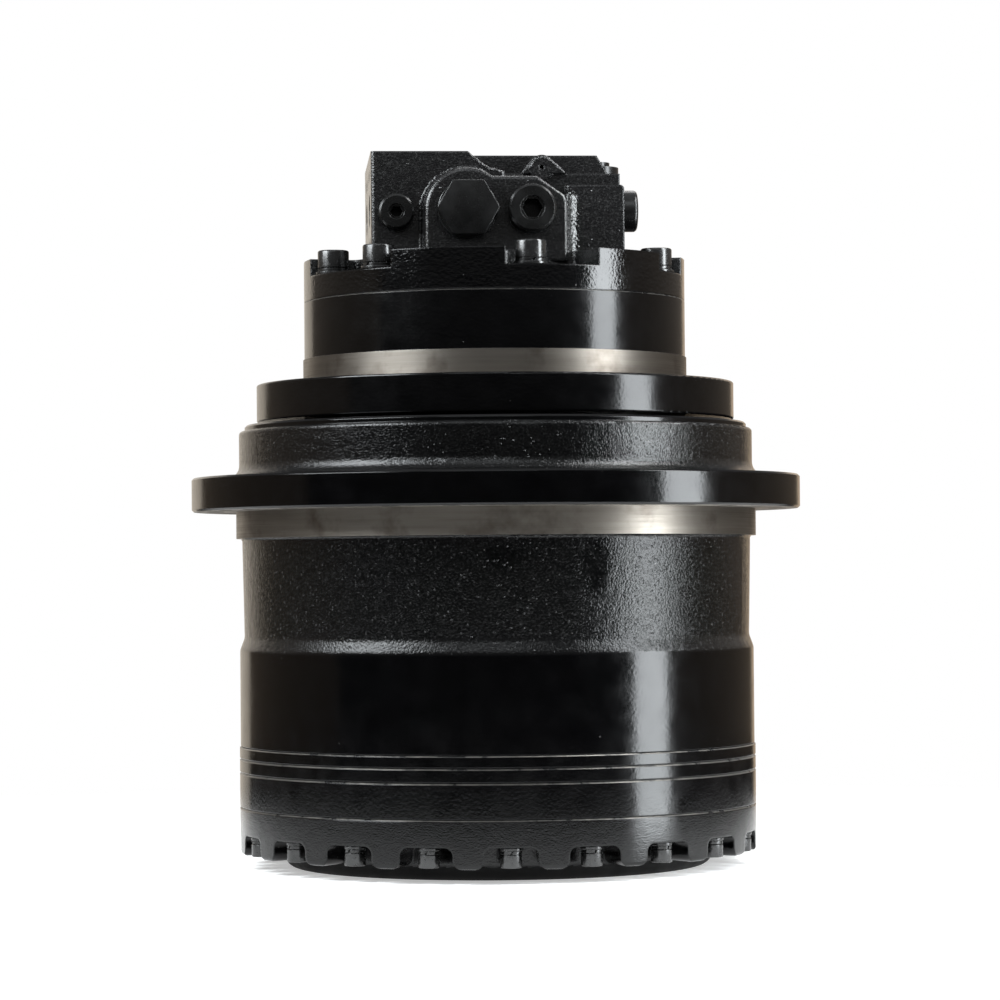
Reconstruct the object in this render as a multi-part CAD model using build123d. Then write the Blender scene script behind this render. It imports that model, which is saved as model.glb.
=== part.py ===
from build123d import *
import math
import os

# Excavator final drive: hydraulic travel motor, two-stage planetary gearbox and sprocket hub.
# Millimetres. Z is the drive axis, Z = 0 the boss under the end cover, the front is -Y.

FRONT = 270.0         # plan angle of the front, in degrees

# Clearances
FIT = 0.05            # radial gap of a seated or screwed-in piece
RUN_GAP = 0.3         # gap between pieces that move past each other
END_GAP = 0.5         # axial float between gears, carriers and pads
FLANK_GAP = 0.26      # gap between two meshing flanks
HOLE_GAP = 1.0        # how much wider a screw hole is than its screw
OVERRUN = 1.0         # how far a cutter or a joined piece runs past its mate

# End cover
COVER_BOSS_D = 334.0
COVER_BOSS_H = 11.0
COVER_BOSS_EDGE_R = 10.0
COVER_LUG_H = 16.0
COVER_LUG_CORNER_R = 7.0
COVER_RIM_H = 20.0
COVER_RIM_EDGE_R = 3.0
COVER_FLOOR_T = 32.0
COVER_CAVITY_D = 316.0
COVER_CAVITY_R = 5.0
COVER_NOTCH_W = 40.0
COVER_NOTCH_CORNER_R = 6.0
COVER_NOTCH_DEPTH = 33.0
COVER_BOLTS = 20
COVER_BOLT_CLOCK = 269.0
COVER_BOLT_EDGE = 8.5
COVER_BOLT_D = 10.0
COVER_BOLT_HEAD_D = 16.0
COVER_BOLT_HEAD_H = 10.0
COVER_BOLT_SOCKET = 8.0
COVER_BOLT_GRIP = 20.0
COVER_WASHER_D = 16.8
COVER_WASHER_T = 2.5
COVER_LOCK_WASHER_D = 15.6
OIL_PLUGS = 3
OIL_PLUG_CIRCLE_D = 230.0
OIL_PLUG_D = 20.0
OIL_PLUG_HEAD_D = 30.0
OIL_PLUG_HEAD_H = 6.0
OIL_PLUG_SEAT_D = 32.0
OIL_PLUG_RECESS = 8.0
OIL_PLUG_SOCKET = 12.0
THRUST_PAD_D = 60.0
THRUST_PAD_T = 8.0
THRUST_PAD_SEAT = 2.0

# Ring gear
RING_D = 402.5
RING_FLANGE_H = 46.7
RING_GROOVE_Z = (26.7, 37.4)
RING_GROOVE = 1.0
RING_WALL = 9.0
SEAM_EDGE = 0.8
DOWELS = 10
DOWEL_D = 12.0
DOWEL_L = 30.0

# Gear data
MODULE = 4.0
RING_TEETH = 84
SUN_1_TEETH = 12
SUN_2_TEETH = 20
PLANETS_1 = 3
PLANETS_2 = 4
PRESSURE_ANGLE = math.radians(20.0)
ADDENDUM = 0.8
DEDENDUM = 1.0
PLANET_1_FACE = 32.0
PLANET_2_FACE = 44.0
PIN_1_D = 36.0
PIN_1_HEAD_D = 48.0
PIN_1_HEAD_H = 5.0
NEEDLE_1_D = 8.0
NEEDLES_1 = 14
PIN_2_D = 44.0
NEEDLE_2_D = 10.0
NEEDLES_2 = 14
NEEDLE_END = 1.0
CARRIER_1_EDGE = 8.0
CARRIER_1_T = 18.0
CARRIER_2_LOWER_T = 12.0
CARRIER_2_UPPER_T = 22.0
CARRIER_2_D = 316.0
CARRIER_2_WEB_IN_D = 160.0
CARRIER_2_WEB_GAP = 2.0
DRIVE_SHAFT_D = 34.0
SUN_2_BORE_D = 44.0
SPLINE_MODULE = 5.0
SPINDLE_SPLINE_TEETH = 28
DRIVE_SPLINE_MODULE = 2.0
DRIVE_SPLINE_TEETH = 16

# Hub
DRUM_D = 401.0
DRUM_H = 74.8
FLARE_H = 9.5
BARREL_FOOT_D = 394.0
BARREL_TOP_D = 397.0
BARREL_H = 77.0
BARREL_TOP_FILLET = 2.0
SPROCKET_PILOT_D = 406.0
SPROCKET_PILOT_H = 21.0
SPROCKET_FLANGE_D = 475.0
SPROCKET_FLANGE_T = 26.0
SPROCKET_BOLTS = 30
SPROCKET_BOLT_CIRCLE_D = 440.0
SPROCKET_BOLT_CLOCK = FRONT
M16_TAP_D = 14.0
FLANGE_EDGE = 1.5
HUB_TOP_D = 401.0
HUB_TOP_H = 36.5
HUB_TOP_FILLET = 10.0
HUB_TOP_EDGE_R = 3.0
HUB_LIP_D = 392.0
HUB_LIP_H = 4.5
HUB_LIP_EDGE = 1.5
HUB_WEB_D = 272.0
HUB_RELIEF_D = 352.0
TAP_ROOM = 3.0

# Main bearings and floating seal
BEARING_ID = 260.0
BEARING_OD = 340.0
BEARING_W = 38.0
BEARING_SHOULDER_DOWN = 2.0
BALLS = 24
BALL_D = 24.0
BALL_RING_LIP = 4.5
BALL_CAGE_T = 5.0
BALL_CAGE_W = 30.0
NUT_D = 296.0
NUT_H = 20.0
NUT_SLOTS = 8
NUT_SLOT_W = 16.0
NUT_THREAD_D = 252.0
SEAL_GAP = 2.5
SEAL_BORE_D = 312.0
SEAL_DEPTH = 16.0
SEAL_RING_ID = 267.0
SEAL_RING_NECK_D = 288.0
SEAL_RING_FACE_D = 298.0
SEAL_RING_LIP_T = 3.0
SEAL_RING_END_GAP = 1.0
SEAL_FACE_GAP = 0.2

# Motor case
FRAME_FLANGE_D = 373.0
FRAME_FLANGE_T = 29.0
FRAME_BOLTS = 24
FRAME_BOLT_CIRCLE_D = 336.0
FRAME_BOLT_DEPTH = 25.0
FRAME_PILOT_D = 300.0
FRAME_PILOT_H = 19.5
CASE_D = 298.0
CASE_SEAM_EDGE = 0.5
CASE_TOP_H = 44.5
SPINDLE_END_D = 236.0
SPINDLE_THREAD_H = 22.0
SPINDLE_BORE_D = 60.0
CAVITY_D = 184.0
CAVITY_FLOOR_UP = 38.0
CAVITY_CORNER_R = 4.0
BRAKE_BORE_D = 212.0
BRAKE_SHELF_DOWN = 66.5
BRAKE_CHAMBER_D = 224.0
BRAKE_STEP_DOWN = 36.5
SEAL_D = 68.0
SEAL_W = 12.0
SEAL_SHELF = 4.0

# Motor rotor
SHAFT_D = 40.0
SHAFT_FRONT_D = 48.0
SHAFT_NOSE_D = 44.0
SHAFT_TAIL_D = 34.0
SHAFT_NOSE_DOWN = 70.0
SHAFT_COLLAR_D = 54.0
SHAFT_COLLAR_UP = 4.0
SHAFT_BLOCK_STOP = 2.0
SOCKET_DEPTH = 46.0
SOCKET_ROOM = 4.0
FRONT_BEARING_OD = 90.0
FRONT_BEARING_W = 28.0
FRONT_BEARING_DOWN = 8.0
FRONT_ROLLERS = 14
FRONT_ROLLER_D = 10.0
FRONT_INNER_T = 4.0
ROLLER_END = 2.0
REAR_BEARING_OD = 50.0
REAR_BEARING_W = 16.0
REAR_NEEDLES = 16
REAR_NEEDLE_D = 4.0
VALVE_PLATE_D = 124.0
VALVE_PLATE_T = 8.0
VALVE_PLATE_BORE_D = 52.0
KIDNEY_W = 13.0
KIDNEY_SWEEP = 130.0
BLOCK_D = 140.0
BLOCK_L = 87.0
PISTONS = 9
PISTON_CLOCK = 90.0
PISTON_D = 26.0
PISTON_CIRCLE_D = 100.0
PISTON_L = 64.0
PISTON_WALL = 5.0
PISTON_NECK = 6.0
CYLINDER_TOP = 15.0
CYLINDER_PORT_D = 12.0
SHOE_D = 25.0
SHOE_T = 4.0
SHOE_NECK_D = 18.0
SHOE_H = 12.0
RETAINER_D = 128.0
RETAINER_T = 3.0
RETAINER_BORE_D = 60.0
BRAKE_SPLINE_TEETH = 30
BRAKE_SPLINE_H = 30.0
FRICTION_DISCS = 3
BRAKE_PLATE_T = 3.0
FRICTION_D = 196.0
SEPARATOR_BORE_D = 162.0
SEPARATOR_EARS = 4
SEPARATOR_EAR_CLOCK = 45.0
SEPARATOR_EAR_D = 10.0
BRAKE_PISTON_BORE_D = 164.0
BRAKE_PISTON_H = 31.0
BRAKE_PISTON_STEP = 13.0
BRAKE_SPRING_T = 3.5
BRAKE_SPRING_ID = 176.0
BRAKE_SPRING_OD = 216.0

# Swash plate
SWASH_TILT = 14.0
SWASH_D = 140.0
SWASH_T = 20.0
SWASH_BORE_D = 72.0
SWASH_BACK = 4.0
PIVOT_X = 58.0
PIVOT_UP = 22.0
PIVOT_BALL_D = 20.0
PIVOT_POST_D = 26.0
SPEED_PISTON_Y = -60.0
SPEED_PISTON_D = 22.0
SPEED_PISTON_L = 32.0
SPEED_BORE_DEPTH = 24.0

# Valve cover
VALVE_FLANGE_H = 18.5
VALVE_LUG_H = 13.2
VALVE_BOLT_CIRCLE_D = 270.0
VALVE_BOLT_ANGLES = (-70.0, -44.0, 8.0, 64.0)
VALVE_POCKETS = ((-76.0, -34.5), (-0.5, 28.5), (54.0, 72.5))
VALVE_POCKET_IN_D = 226.0
VALVE_POCKET_CORNER_R = 6.0
VALVE_BOLT_D = 16.0
VALVE_BOLT_HEAD_D = 24.0
VALVE_BOLT_HEAD_H = 14.0
VALVE_BOLT_SOCKET = 12.0
VALVE_BOLT_REACH = 34.0
VALVE_WASHER_D = 27.0
VALVE_LOCK_WASHER_D = 24.0
VALVE_WASHER_T = 2.4
BLOCK_H = 78.8
BLOCK_LEFT_X = -98.5
BLOCK_RIGHT_X = 96.0
BLOCK_REAR_Y = 79.0
BLOCK_CORNER_R = 3.0
TOWER_FRONT_Y = -78.0
TOWER_RIGHT_X = -24.0
RAMP_X = -9.0
RAMP_FOOT_X = 4.0
RAMP_DROP = 15.5
RAMP_R = 24.0
BODY_FRONT_Y = -56.0
BODY_LEFT_X = -17.0
BODY_DROP = 15.0
UPPER_FRONT_Y = -48.0
UPPER_REAR_Y = -15.0
UPPER_RIGHT_X = 77.0
UPPER_SLOPE = 9.0
UPPER_BACK_X = 56.0
SHOULDER_LEFT_X = 52.0
SHOULDER_FRONT_Y = -70.0
SHOULDER_DROP = 25.0
BODY_RIGHT_X = 94.0
BOSS_FRONT_Y = -104.0
BOSS_REAR_Y = 104.0
BOSS_DRAFT = 5.0
BOSS_EDGE_R = 2.5
BOSS_SPOOL_R = 36.5
BOSS_TOP_UP = 30.0
BOSS_SLOPE_X = 28.0
BOSS_SIDE_UP = 12.0
BOSS_SIDE_X = 54.0
BOSS_BEND_R = 14.0
COVE_R = 9.0
COVE_UP = 14.0
PLUG_UP = 31.8
SPOOL_X = -26.5
RELIEF_X = 22.0
CHECK_X = -79.5
EAR_X = 33.5
EAR_R = 9.5
EAR_T = 12.0
EAR_FOOT_LEFT = 15.0
EAR_FOOT_RIGHT = 19.0
EAR_HOLE_D = 3.5

# Spool and plugs
SPOOL_D = 32.0
SPOOL_NECK_D = 20.0
SPOOL_L = 108.0
SPOOL_LAND = 24.0
SPOOL_SEAT_L = 20.0
SPRING_D = 22.0
SPRING_WIRE_D = 3.0
SPRING_TURNS = 5
HEX_AF = 41.0
HEX_H = 15.0
HEX_COLLAR_D = 45.0
HEX_COLLAR_T = 3.0
RELIEF_CAP_D = 36.0
RELIEF_CAP_H = 13.0
RELIEF_CAP_SOCKET = 14.0
RELIEF_CAP_MOUTH_D = 18.5
RELIEF_THREAD_D = 27.0
CHECK_CAP_D = 27.0
CHECK_CAP_H = 12.0
CHECK_CAP_SOCKET = 8.0
CHECK_CAP_MOUTH_D = 12.0
CHECK_THREAD_D = 20.0
PLUG_THREAD_L = 18.0
PLUG_EDGE = 1.5
PLUG_MOUTH_DEPTH = 3.0
PLUG_SOCKET_DEPTH = 20.0
SIDE_PLUG_Y = -45.0
SIDE_PLUG_UP = 35.8
SIDE_PLUG_D = 32.0
SIDE_PLUG_H = 12.0
SIDE_PLUG_EDGE_R = 3.0
TOP_PLUG_X = 82.0
TOP_PLUG_Y = 5.0
TOP_PLUG_D = 34.0
TOP_PLUG_H = 11.0
TOP_PLUG_CAP_D = 20.0
TOP_PLUG_CAP_H = 4.0

# Oil ports
MAIN_PORT_D = 25.0
MAIN_PORT_DEPTH = 50.0
MAIN_PORT_Y = (-40.0, 32.0)
MAIN_PORT_UP = 36.8
MAIN_FLANGE_SPACING = (26.2, 52.4)
M10_TAP_D = 8.5
MAIN_FLANGE_TAP_DEPTH = 22.0
SMALL_PORT_X = 75.0
DRAIN_PORT_UP = 20.8
DRAIN_PORT_D = 18.6
PILOT_PORT_UP = 45.8
PILOT_PORT_D = 11.8
SMALL_PORT_DEPTH = 18.0

# Levels of the outer stack
z_lug = COVER_BOSS_H
z_seat = z_lug + COVER_LUG_H
z_cover = z_seat + COVER_RIM_H
z_ring = z_cover + RING_FLANGE_H
z_drum = z_ring + DRUM_H
z_barrel = z_drum + FLARE_H
z_pilot = z_barrel + BARREL_H
z_flange = z_pilot + SPROCKET_PILOT_H
z_flange_top = z_flange + SPROCKET_FLANGE_T
z_hub_step = z_flange_top + HUB_TOP_H
z_hub_top = z_hub_step + HUB_LIP_H
z_frame = z_hub_top + SEAL_GAP
z_frame_face = z_frame + FRAME_FLANGE_T
z_case_step = z_frame_face + FRAME_PILOT_H
z_case = z_case_step + CASE_TOP_H
z_pocket = z_case + VALVE_FLANGE_H
z_valve_lug = z_pocket + VALVE_LUG_H
z_block = z_valve_lug + BLOCK_H
z_plug = z_valve_lug + PLUG_UP
z_side_plug = z_valve_lug + SIDE_PLUG_UP

# Levels of the gear train
z_planet_1 = z_cover + 2 * END_GAP
z_planet_1_top = z_planet_1 + PLANET_1_FACE
z_carrier_1 = z_planet_1_top + END_GAP
z_carrier_1_top = z_carrier_1 + CARRIER_1_T
z_carrier_2 = z_carrier_1_top + 2 * END_GAP
z_planet_2 = z_carrier_2 + CARRIER_2_LOWER_T + END_GAP
z_planet_2_top = z_planet_2 + PLANET_2_FACE
z_carrier_2_upper = z_planet_2_top + END_GAP
z_spindle = z_carrier_2_upper + CARRIER_2_UPPER_T
z_spigot = z_carrier_2_upper + 2 * END_GAP

# Levels of the bearings, seal and motor
z_bearing_top = z_flange_top - BEARING_SHOULDER_DOWN
z_bearing_mid = z_bearing_top - BEARING_W
z_bearing = z_bearing_mid - BEARING_W
z_nut = z_bearing - NUT_H
z_floor = z_bearing + CAVITY_FLOOR_UP
z_front_bearing = z_floor - FRONT_BEARING_W - FRONT_BEARING_DOWN
z_seal = z_front_bearing - SEAL_SHELF - SEAL_W
z_shelf = z_case - BRAKE_SHELF_DOWN
z_step = z_case - BRAKE_STEP_DOWN
z_plate = z_case - VALVE_PLATE_T
z_cylinder_top = z_plate - FIT
z_cylinder = z_cylinder_top - BLOCK_L
z_shoe = z_cylinder - PISTON_NECK - SHOE_H
z_pivot = z_floor + PIVOT_UP
z_brake = z_shelf + (2 * FRICTION_DISCS + 1) * BRAKE_PLATE_T
z_nose = z_front_bearing - SHAFT_NOSE_DOWN / 2
z_seal_plane = z_hub_top + SEAL_GAP / 2

# Radii that several pieces share
ring_pitch_r = MODULE * RING_TEETH / 2
ring_root_r = ring_pitch_r + DEDENDUM * MODULE
spigot_r = ring_root_r + RING_WALL
cover_bolt_r = RING_D / 2 - COVER_BOLT_EDGE
dowel_r = (spigot_r + DRUM_D / 2) / 2
planet_1_teeth = (RING_TEETH - SUN_1_TEETH) // 2
planet_2_teeth = (RING_TEETH - SUN_2_TEETH) // 2
arm_1 = MODULE * (SUN_1_TEETH + planet_1_teeth) / 2
arm_2 = MODULE * (SUN_2_TEETH + planet_2_teeth) / 2
race_1_r = PIN_1_D / 2 + NEEDLE_1_D + FIT + RUN_GAP
race_2_r = PIN_2_D / 2 + NEEDLE_2_D + FIT + RUN_GAP
ball_circle_r = (BEARING_ID + BEARING_OD) / 4
toric_r = (SEAL_RING_NECK_D + SEAL_BORE_D) / 4
boss_mid_y = (BOSS_FRONT_Y + BOSS_REAR_Y) / 2

ON_BASE = (Align.CENTER, Align.CENTER, Align.MIN)


def rod(diameter, bottom, top, x=0.0, y=0.0):
    """Upright cylinder between two levels."""
    return Pos(x, y, bottom) * Cylinder(diameter / 2, top - bottom, align=ON_BASE)


def tube(outer_d, inner_d, bottom, top):
    """Upright ring between two levels."""
    return rod(outer_d, bottom, top) - rod(inner_d, bottom, top)


def turned(points, radii=0.0):
    """Solid of revolution from an outline of (radius, level) points, with corner radii."""
    outline = FilletPolyline(*points, radius=radii, close=True)
    return revolve(Plane.XZ * make_face(outline), Axis.Z)


def spread(count, start=0.0):
    """Evenly spaced angles."""
    return [start + 360.0 / count * i for i in range(count)]


def polar(radius, degrees):
    """Plan position at a radius and an angle."""
    return radius * math.cos(math.radians(degrees)), radius * math.sin(math.radians(degrees))


def ring_of(solid, radius, angles):
    """Copies of a solid carried round the axis at a radius."""
    return [Rot(0, 0, a) * Pos(radius, 0, 0) * solid for a in angles]


def front_rod(diameter, near, far, x, z):
    """Cylinder along Y between two depths."""
    return Pos(x, near, z) * Rot(-90, 0, 0) * Cylinder(diameter / 2, far - near, align=ON_BASE)


def front_plate(sketch, near, far, taper=0.0):
    """Sketch of (x, z) points pulled from the rear depth towards the front."""
    plane = Plane(origin=(0, far, 0), x_dir=(1, 0, 0), z_dir=(0, -1, 0))
    return extrude(plane * sketch, amount=far - near, taper=taper)


def hexagon(across_flats):
    """Hexagon sketch by its size across flats, with a corner on its first axis."""
    return RegularPolygon(across_flats / 2, 6, major_radius=False)


def tooth_outline(module, teeth, addendum, dedendum, thicken):
    """Involute outline with a tooth on +X; each flank is moved out by a gap to thicken it."""
    pitch = module * teeth / 2
    base = pitch * math.cos(PRESSURE_ANGLE)
    tip = pitch + addendum * module
    root = pitch - dedendum * module
    start = max(root, base)
    step = 360.0 / teeth
    involute = math.tan(PRESSURE_ANGLE) - PRESSURE_ANGLE

    def half_angle(radius):
        roll = math.acos(min(1.0, base / radius))
        half = math.pi / 2 / teeth + thicken / pitch + involute - math.tan(roll) + roll
        return math.degrees(half)

    middle = (start + tip) / 2
    edges = []
    for tooth in range(teeth):
        mid = tooth * step
        rise = [polar(r, mid - half_angle(r)) for r in (start, middle, tip)]
        fall = [polar(r, mid + half_angle(r)) for r in (tip, middle, start)]
        foot = polar(root, mid - half_angle(start))
        heel = polar(root, mid + half_angle(start))
        next_foot = polar(root, mid + step - half_angle(start))
        if root < base:
            edges.append(Line(foot, rise[0]))
        edges.append(ThreePointArc(*rise))
        edges.append(ThreePointArc(rise[2], polar(tip, mid), fall[0]))
        edges.append(ThreePointArc(*fall))
        if root < base:
            edges.append(Line(fall[2], heel))
        edges.append(ThreePointArc(heel, polar(root, mid + step / 2), next_foot))
    return make_face(edges)


def toothed(module, teeth, bottom, top):
    """External gear or spline."""
    face = tooth_outline(module, teeth, ADDENDUM, DEDENDUM, -FLANK_GAP / 2)
    return Pos(0, 0, bottom) * extrude(face, amount=top - bottom)


def toothed_bore(module, teeth, bottom, top):
    """Cutter for the internal gear or spline that takes the external one."""
    face = tooth_outline(module, teeth, DEDENDUM, ADDENDUM, FLANK_GAP / 2)
    return Pos(0, 0, bottom) * extrude(face, amount=top - bottom)


# Gearbox shell

def cover_notch():
    """Cutter for one bolt notch: open outwards and downwards, with rounded lugs beside it."""
    half = COVER_NOTCH_W / 2
    flare = half + COVER_LUG_CORNER_R + OVERRUN
    below = -OVERRUN
    points = [
        (-flare, below), (-flare, z_lug), (-half, z_lug), (-half, z_seat),
        (half, z_seat), (half, z_lug), (flare, z_lug), (flare, below),
    ]
    lug = COVER_LUG_CORNER_R
    corner = COVER_NOTCH_CORNER_R
    outline = FilletPolyline(*points, radius=[0, 0, lug, corner, corner, lug, 0, 0], close=True)
    plane = Plane(origin=(RING_D / 2 - COVER_NOTCH_DEPTH, 0, 0), x_dir=(0, 1, 0), z_dir=(1, 0, 0))
    return extrude(plane * make_face(outline), amount=2 * COVER_NOTCH_DEPTH)


def end_cover():
    """Castellated end cover with a flat boss, an oil cavity and recessed plug seats."""
    boss = COVER_BOSS_D / 2
    rim = RING_D / 2
    cavity = COVER_CAVITY_D / 2
    points = [
        (0, 0), (boss, 0), (boss, z_lug), (rim, z_lug), (rim, z_cover - SEAM_EDGE),
        (rim - SEAM_EDGE, z_cover), (cavity, z_cover), (cavity, COVER_FLOOR_T), (0, COVER_FLOOR_T),
    ]
    body = turned(points, [0, COVER_BOSS_EDGE_R, 0, COVER_RIM_EDGE_R, 0, 0, 0, COVER_CAVITY_R, 0])
    bolts = spread(COVER_BOLTS, COVER_BOLT_CLOCK)
    plugs = spread(OIL_PLUGS, COVER_BOLT_CLOCK)
    body -= ring_of(cover_notch(), 0, bolts)
    body -= ring_of(rod(COVER_BOLT_D + HOLE_GAP, z_lug, z_cover), cover_bolt_r, bolts)
    seat = rod(OIL_PLUG_SEAT_D, 0, OIL_PLUG_RECESS)
    body -= ring_of(seat, OIL_PLUG_CIRCLE_D / 2, plugs)
    body -= ring_of(rod(OIL_PLUG_D, 0, COVER_FLOOR_T), OIL_PLUG_CIRCLE_D / 2, plugs)
    body -= rod(THRUST_PAD_D + 2 * FIT, COVER_FLOOR_T - THRUST_PAD_SEAT, COVER_FLOOR_T)
    return body


def cover_bolts():
    """Long socket screws through cover and ring gear into the hub."""
    head_top = z_seat - 2 * COVER_WASHER_T
    head_bottom = head_top - COVER_BOLT_HEAD_H
    bolt = rod(COVER_BOLT_HEAD_D, head_bottom, head_top)
    bolt += rod(COVER_BOLT_D, head_top, z_ring + COVER_BOLT_GRIP)
    socket = extrude(hexagon(COVER_BOLT_SOCKET), amount=COVER_BOLT_HEAD_H / 2)
    bolt -= Pos(0, 0, head_bottom) * socket
    return ring_of(bolt, cover_bolt_r, spread(COVER_BOLTS, COVER_BOLT_CLOCK))


def cover_washers():
    """A flat and a lock washer under each cover screw."""
    hole = COVER_BOLT_D + 2 * FIT
    flat_bottom = z_seat - COVER_WASHER_T
    flat = tube(COVER_WASHER_D, hole, flat_bottom, z_seat)
    lock = tube(COVER_LOCK_WASHER_D, hole, flat_bottom - COVER_WASHER_T, flat_bottom)
    angles = spread(COVER_BOLTS, COVER_BOLT_CLOCK)
    return ring_of(flat, cover_bolt_r, angles) + ring_of(lock, cover_bolt_r, angles)


def oil_plugs():
    """Fill, level and drain plugs, sunk below the boss face."""
    head_bottom = OIL_PLUG_RECESS - OIL_PLUG_HEAD_H
    plug = rod(OIL_PLUG_HEAD_D, head_bottom, OIL_PLUG_RECESS)
    plug += rod(OIL_PLUG_D - 2 * FIT, OIL_PLUG_RECESS, COVER_FLOOR_T - PLUG_EDGE)
    plug -= Pos(0, 0, head_bottom) * extrude(hexagon(OIL_PLUG_SOCKET), amount=OIL_PLUG_HEAD_H)
    return ring_of(plug, OIL_PLUG_CIRCLE_D / 2, spread(OIL_PLUGS, COVER_BOLT_CLOCK))


def thrust_pad():
    """Wear pad under the first sun gear."""
    bottom = COVER_FLOOR_T - THRUST_PAD_SEAT
    return rod(THRUST_PAD_D, bottom, bottom + THRUST_PAD_T)


def dowel_angles():
    """Dowels stand midway between cover screws."""
    return spread(DOWELS, COVER_BOLT_CLOCK + 180.0 / COVER_BOLTS)


def ring_gear():
    """Internal gear of both stages, with a spigot up into the hub."""
    rim = RING_D / 2
    points = [(0, z_cover), (rim - SEAM_EDGE, z_cover), (rim, z_cover + SEAM_EDGE)]
    for up in RING_GROOVE_Z:
        level = z_cover + up
        points += [(rim, level - RING_GROOVE), (rim - RING_GROOVE, level), (rim, level + RING_GROOVE)]
    points += [(rim, z_ring - SEAM_EDGE), (rim - SEAM_EDGE, z_ring)]
    points += [(spigot_r, z_ring), (spigot_r, z_spigot), (0, z_spigot)]
    body = turned(points)
    body -= toothed_bore(MODULE, RING_TEETH, z_cover, z_spigot)
    bolts = spread(COVER_BOLTS, COVER_BOLT_CLOCK)
    body -= ring_of(rod(COVER_BOLT_D + HOLE_GAP, z_cover, z_ring), cover_bolt_r, bolts)
    body -= ring_of(rod(DOWEL_D + 2 * FIT, z_ring - DOWEL_L / 2, z_ring), dowel_r, dowel_angles())
    return body


def ring_gear_dowels():
    """Dowels that carry the torque between ring gear and hub."""
    dowel = rod(DOWEL_D, z_ring - DOWEL_L / 2 + FIT, z_ring + DOWEL_L / 2 - FIT)
    return ring_of(dowel, dowel_r, dowel_angles())


def hub_housing():
    """Cast hub: drum, tapered barrel, sprocket pilot and flange, seal ring on top."""
    flange = SPROCKET_FLANGE_D / 2
    lip = HUB_LIP_D / 2
    outer = [
        (DRUM_D / 2 - SEAM_EDGE, z_ring), (DRUM_D / 2, z_ring + SEAM_EDGE),
        (DRUM_D / 2, z_drum), (BARREL_FOOT_D / 2, z_barrel),
        (BARREL_TOP_D / 2, z_pilot), (SPROCKET_PILOT_D / 2, z_pilot),
        (SPROCKET_PILOT_D / 2, z_flange), (flange - FLANGE_EDGE, z_flange),
        (flange, z_flange + FLANGE_EDGE), (flange, z_flange_top - FLANGE_EDGE),
        (flange - FLANGE_EDGE, z_flange_top), (HUB_TOP_D / 2, z_flange_top),
        (HUB_TOP_D / 2, z_hub_step), (lip, z_hub_step), (lip, z_hub_top - HUB_LIP_EDGE),
        (lip - HUB_LIP_EDGE, z_hub_top),
    ]
    inner = [
        (SEAL_BORE_D / 2, z_hub_top), (SEAL_BORE_D / 2, z_hub_top - SEAL_DEPTH),
        (HUB_WEB_D / 2, z_hub_top - SEAL_DEPTH), (HUB_WEB_D / 2, z_bearing_top),
        (BEARING_OD / 2, z_bearing_top), (BEARING_OD / 2, z_bearing), (HUB_RELIEF_D / 2, z_bearing),
        (HUB_RELIEF_D / 2, z_spigot + END_GAP), (spigot_r + FIT, z_spigot + END_GAP),
        (spigot_r + FIT, z_ring),
    ]
    flare = FLARE_H
    outer_radii = [0, 0, flare, flare, BARREL_TOP_FILLET, 0, 0, 0, 0, 0, 0]
    outer_radii += [HUB_TOP_FILLET, HUB_TOP_EDGE_R, 0, 0, 0]
    body = turned(outer + inner, outer_radii + [0] * len(inner))
    tapped = rod(M16_TAP_D, z_flange, z_flange_top)
    body -= ring_of(tapped, SPROCKET_BOLT_CIRCLE_D / 2, spread(SPROCKET_BOLTS, SPROCKET_BOLT_CLOCK))
    screw = rod(COVER_BOLT_D + 2 * FIT, z_ring, z_ring + COVER_BOLT_GRIP + TAP_ROOM)
    body -= ring_of(screw, cover_bolt_r, spread(COVER_BOLTS, COVER_BOLT_CLOCK))
    body -= ring_of(rod(DOWEL_D + 2 * FIT, z_ring, z_ring + DOWEL_L / 2), dowel_r, dowel_angles())
    return body


# Main bearings and floating seal

def ball_groove(level):
    """Cutter for the raceway of one ball bearing."""
    return Pos(0, 0, level) * Torus(ball_circle_r, BALL_D / 2 + RUN_GAP)


def bearing_inner(bottom):
    """Inner ring on the spindle neck."""
    ring = tube(2 * (ball_circle_r - BALL_RING_LIP), BEARING_ID + 2 * FIT, bottom, bottom + BEARING_W - FIT)
    return ring - ball_groove(bottom + BEARING_W / 2)


def bearing_outer(bottom):
    """Outer ring in the hub."""
    ring = tube(BEARING_OD - 2 * FIT, 2 * (ball_circle_r + BALL_RING_LIP), bottom, bottom + BEARING_W - FIT)
    return ring - ball_groove(bottom + BEARING_W / 2)


def bearing_balls(bottom):
    """Balls and the cage that spaces them."""
    level = bottom + BEARING_W / 2
    angles = spread(BALLS)
    pocket = Pos(0, 0, level) * Rot(0, 90, 0) * Cylinder(BALL_D / 2 + RUN_GAP, 2 * BALL_CAGE_T)
    low = level - BALL_CAGE_W / 2
    cage = tube(2 * ball_circle_r + BALL_CAGE_T, 2 * ball_circle_r - BALL_CAGE_T, low, low + BALL_CAGE_W)
    cage -= ring_of(pocket, ball_circle_r, angles)
    ball = Pos(0, 0, level) * Sphere(BALL_D / 2)
    return ring_of(ball, ball_circle_r, angles) + [cage]


def bearing_nut():
    """Slotted nut that clamps both inner rings."""
    nut = tube(NUT_D, NUT_THREAD_D + 2 * FIT, z_nut, z_bearing - FIT)
    slot = Pos(0, 0, z_nut) * Box(NUT_SLOT_W, NUT_SLOT_W, NUT_H / 2, align=ON_BASE)
    return nut - ring_of(slot, NUT_D / 2, spread(NUT_SLOTS))


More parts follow.
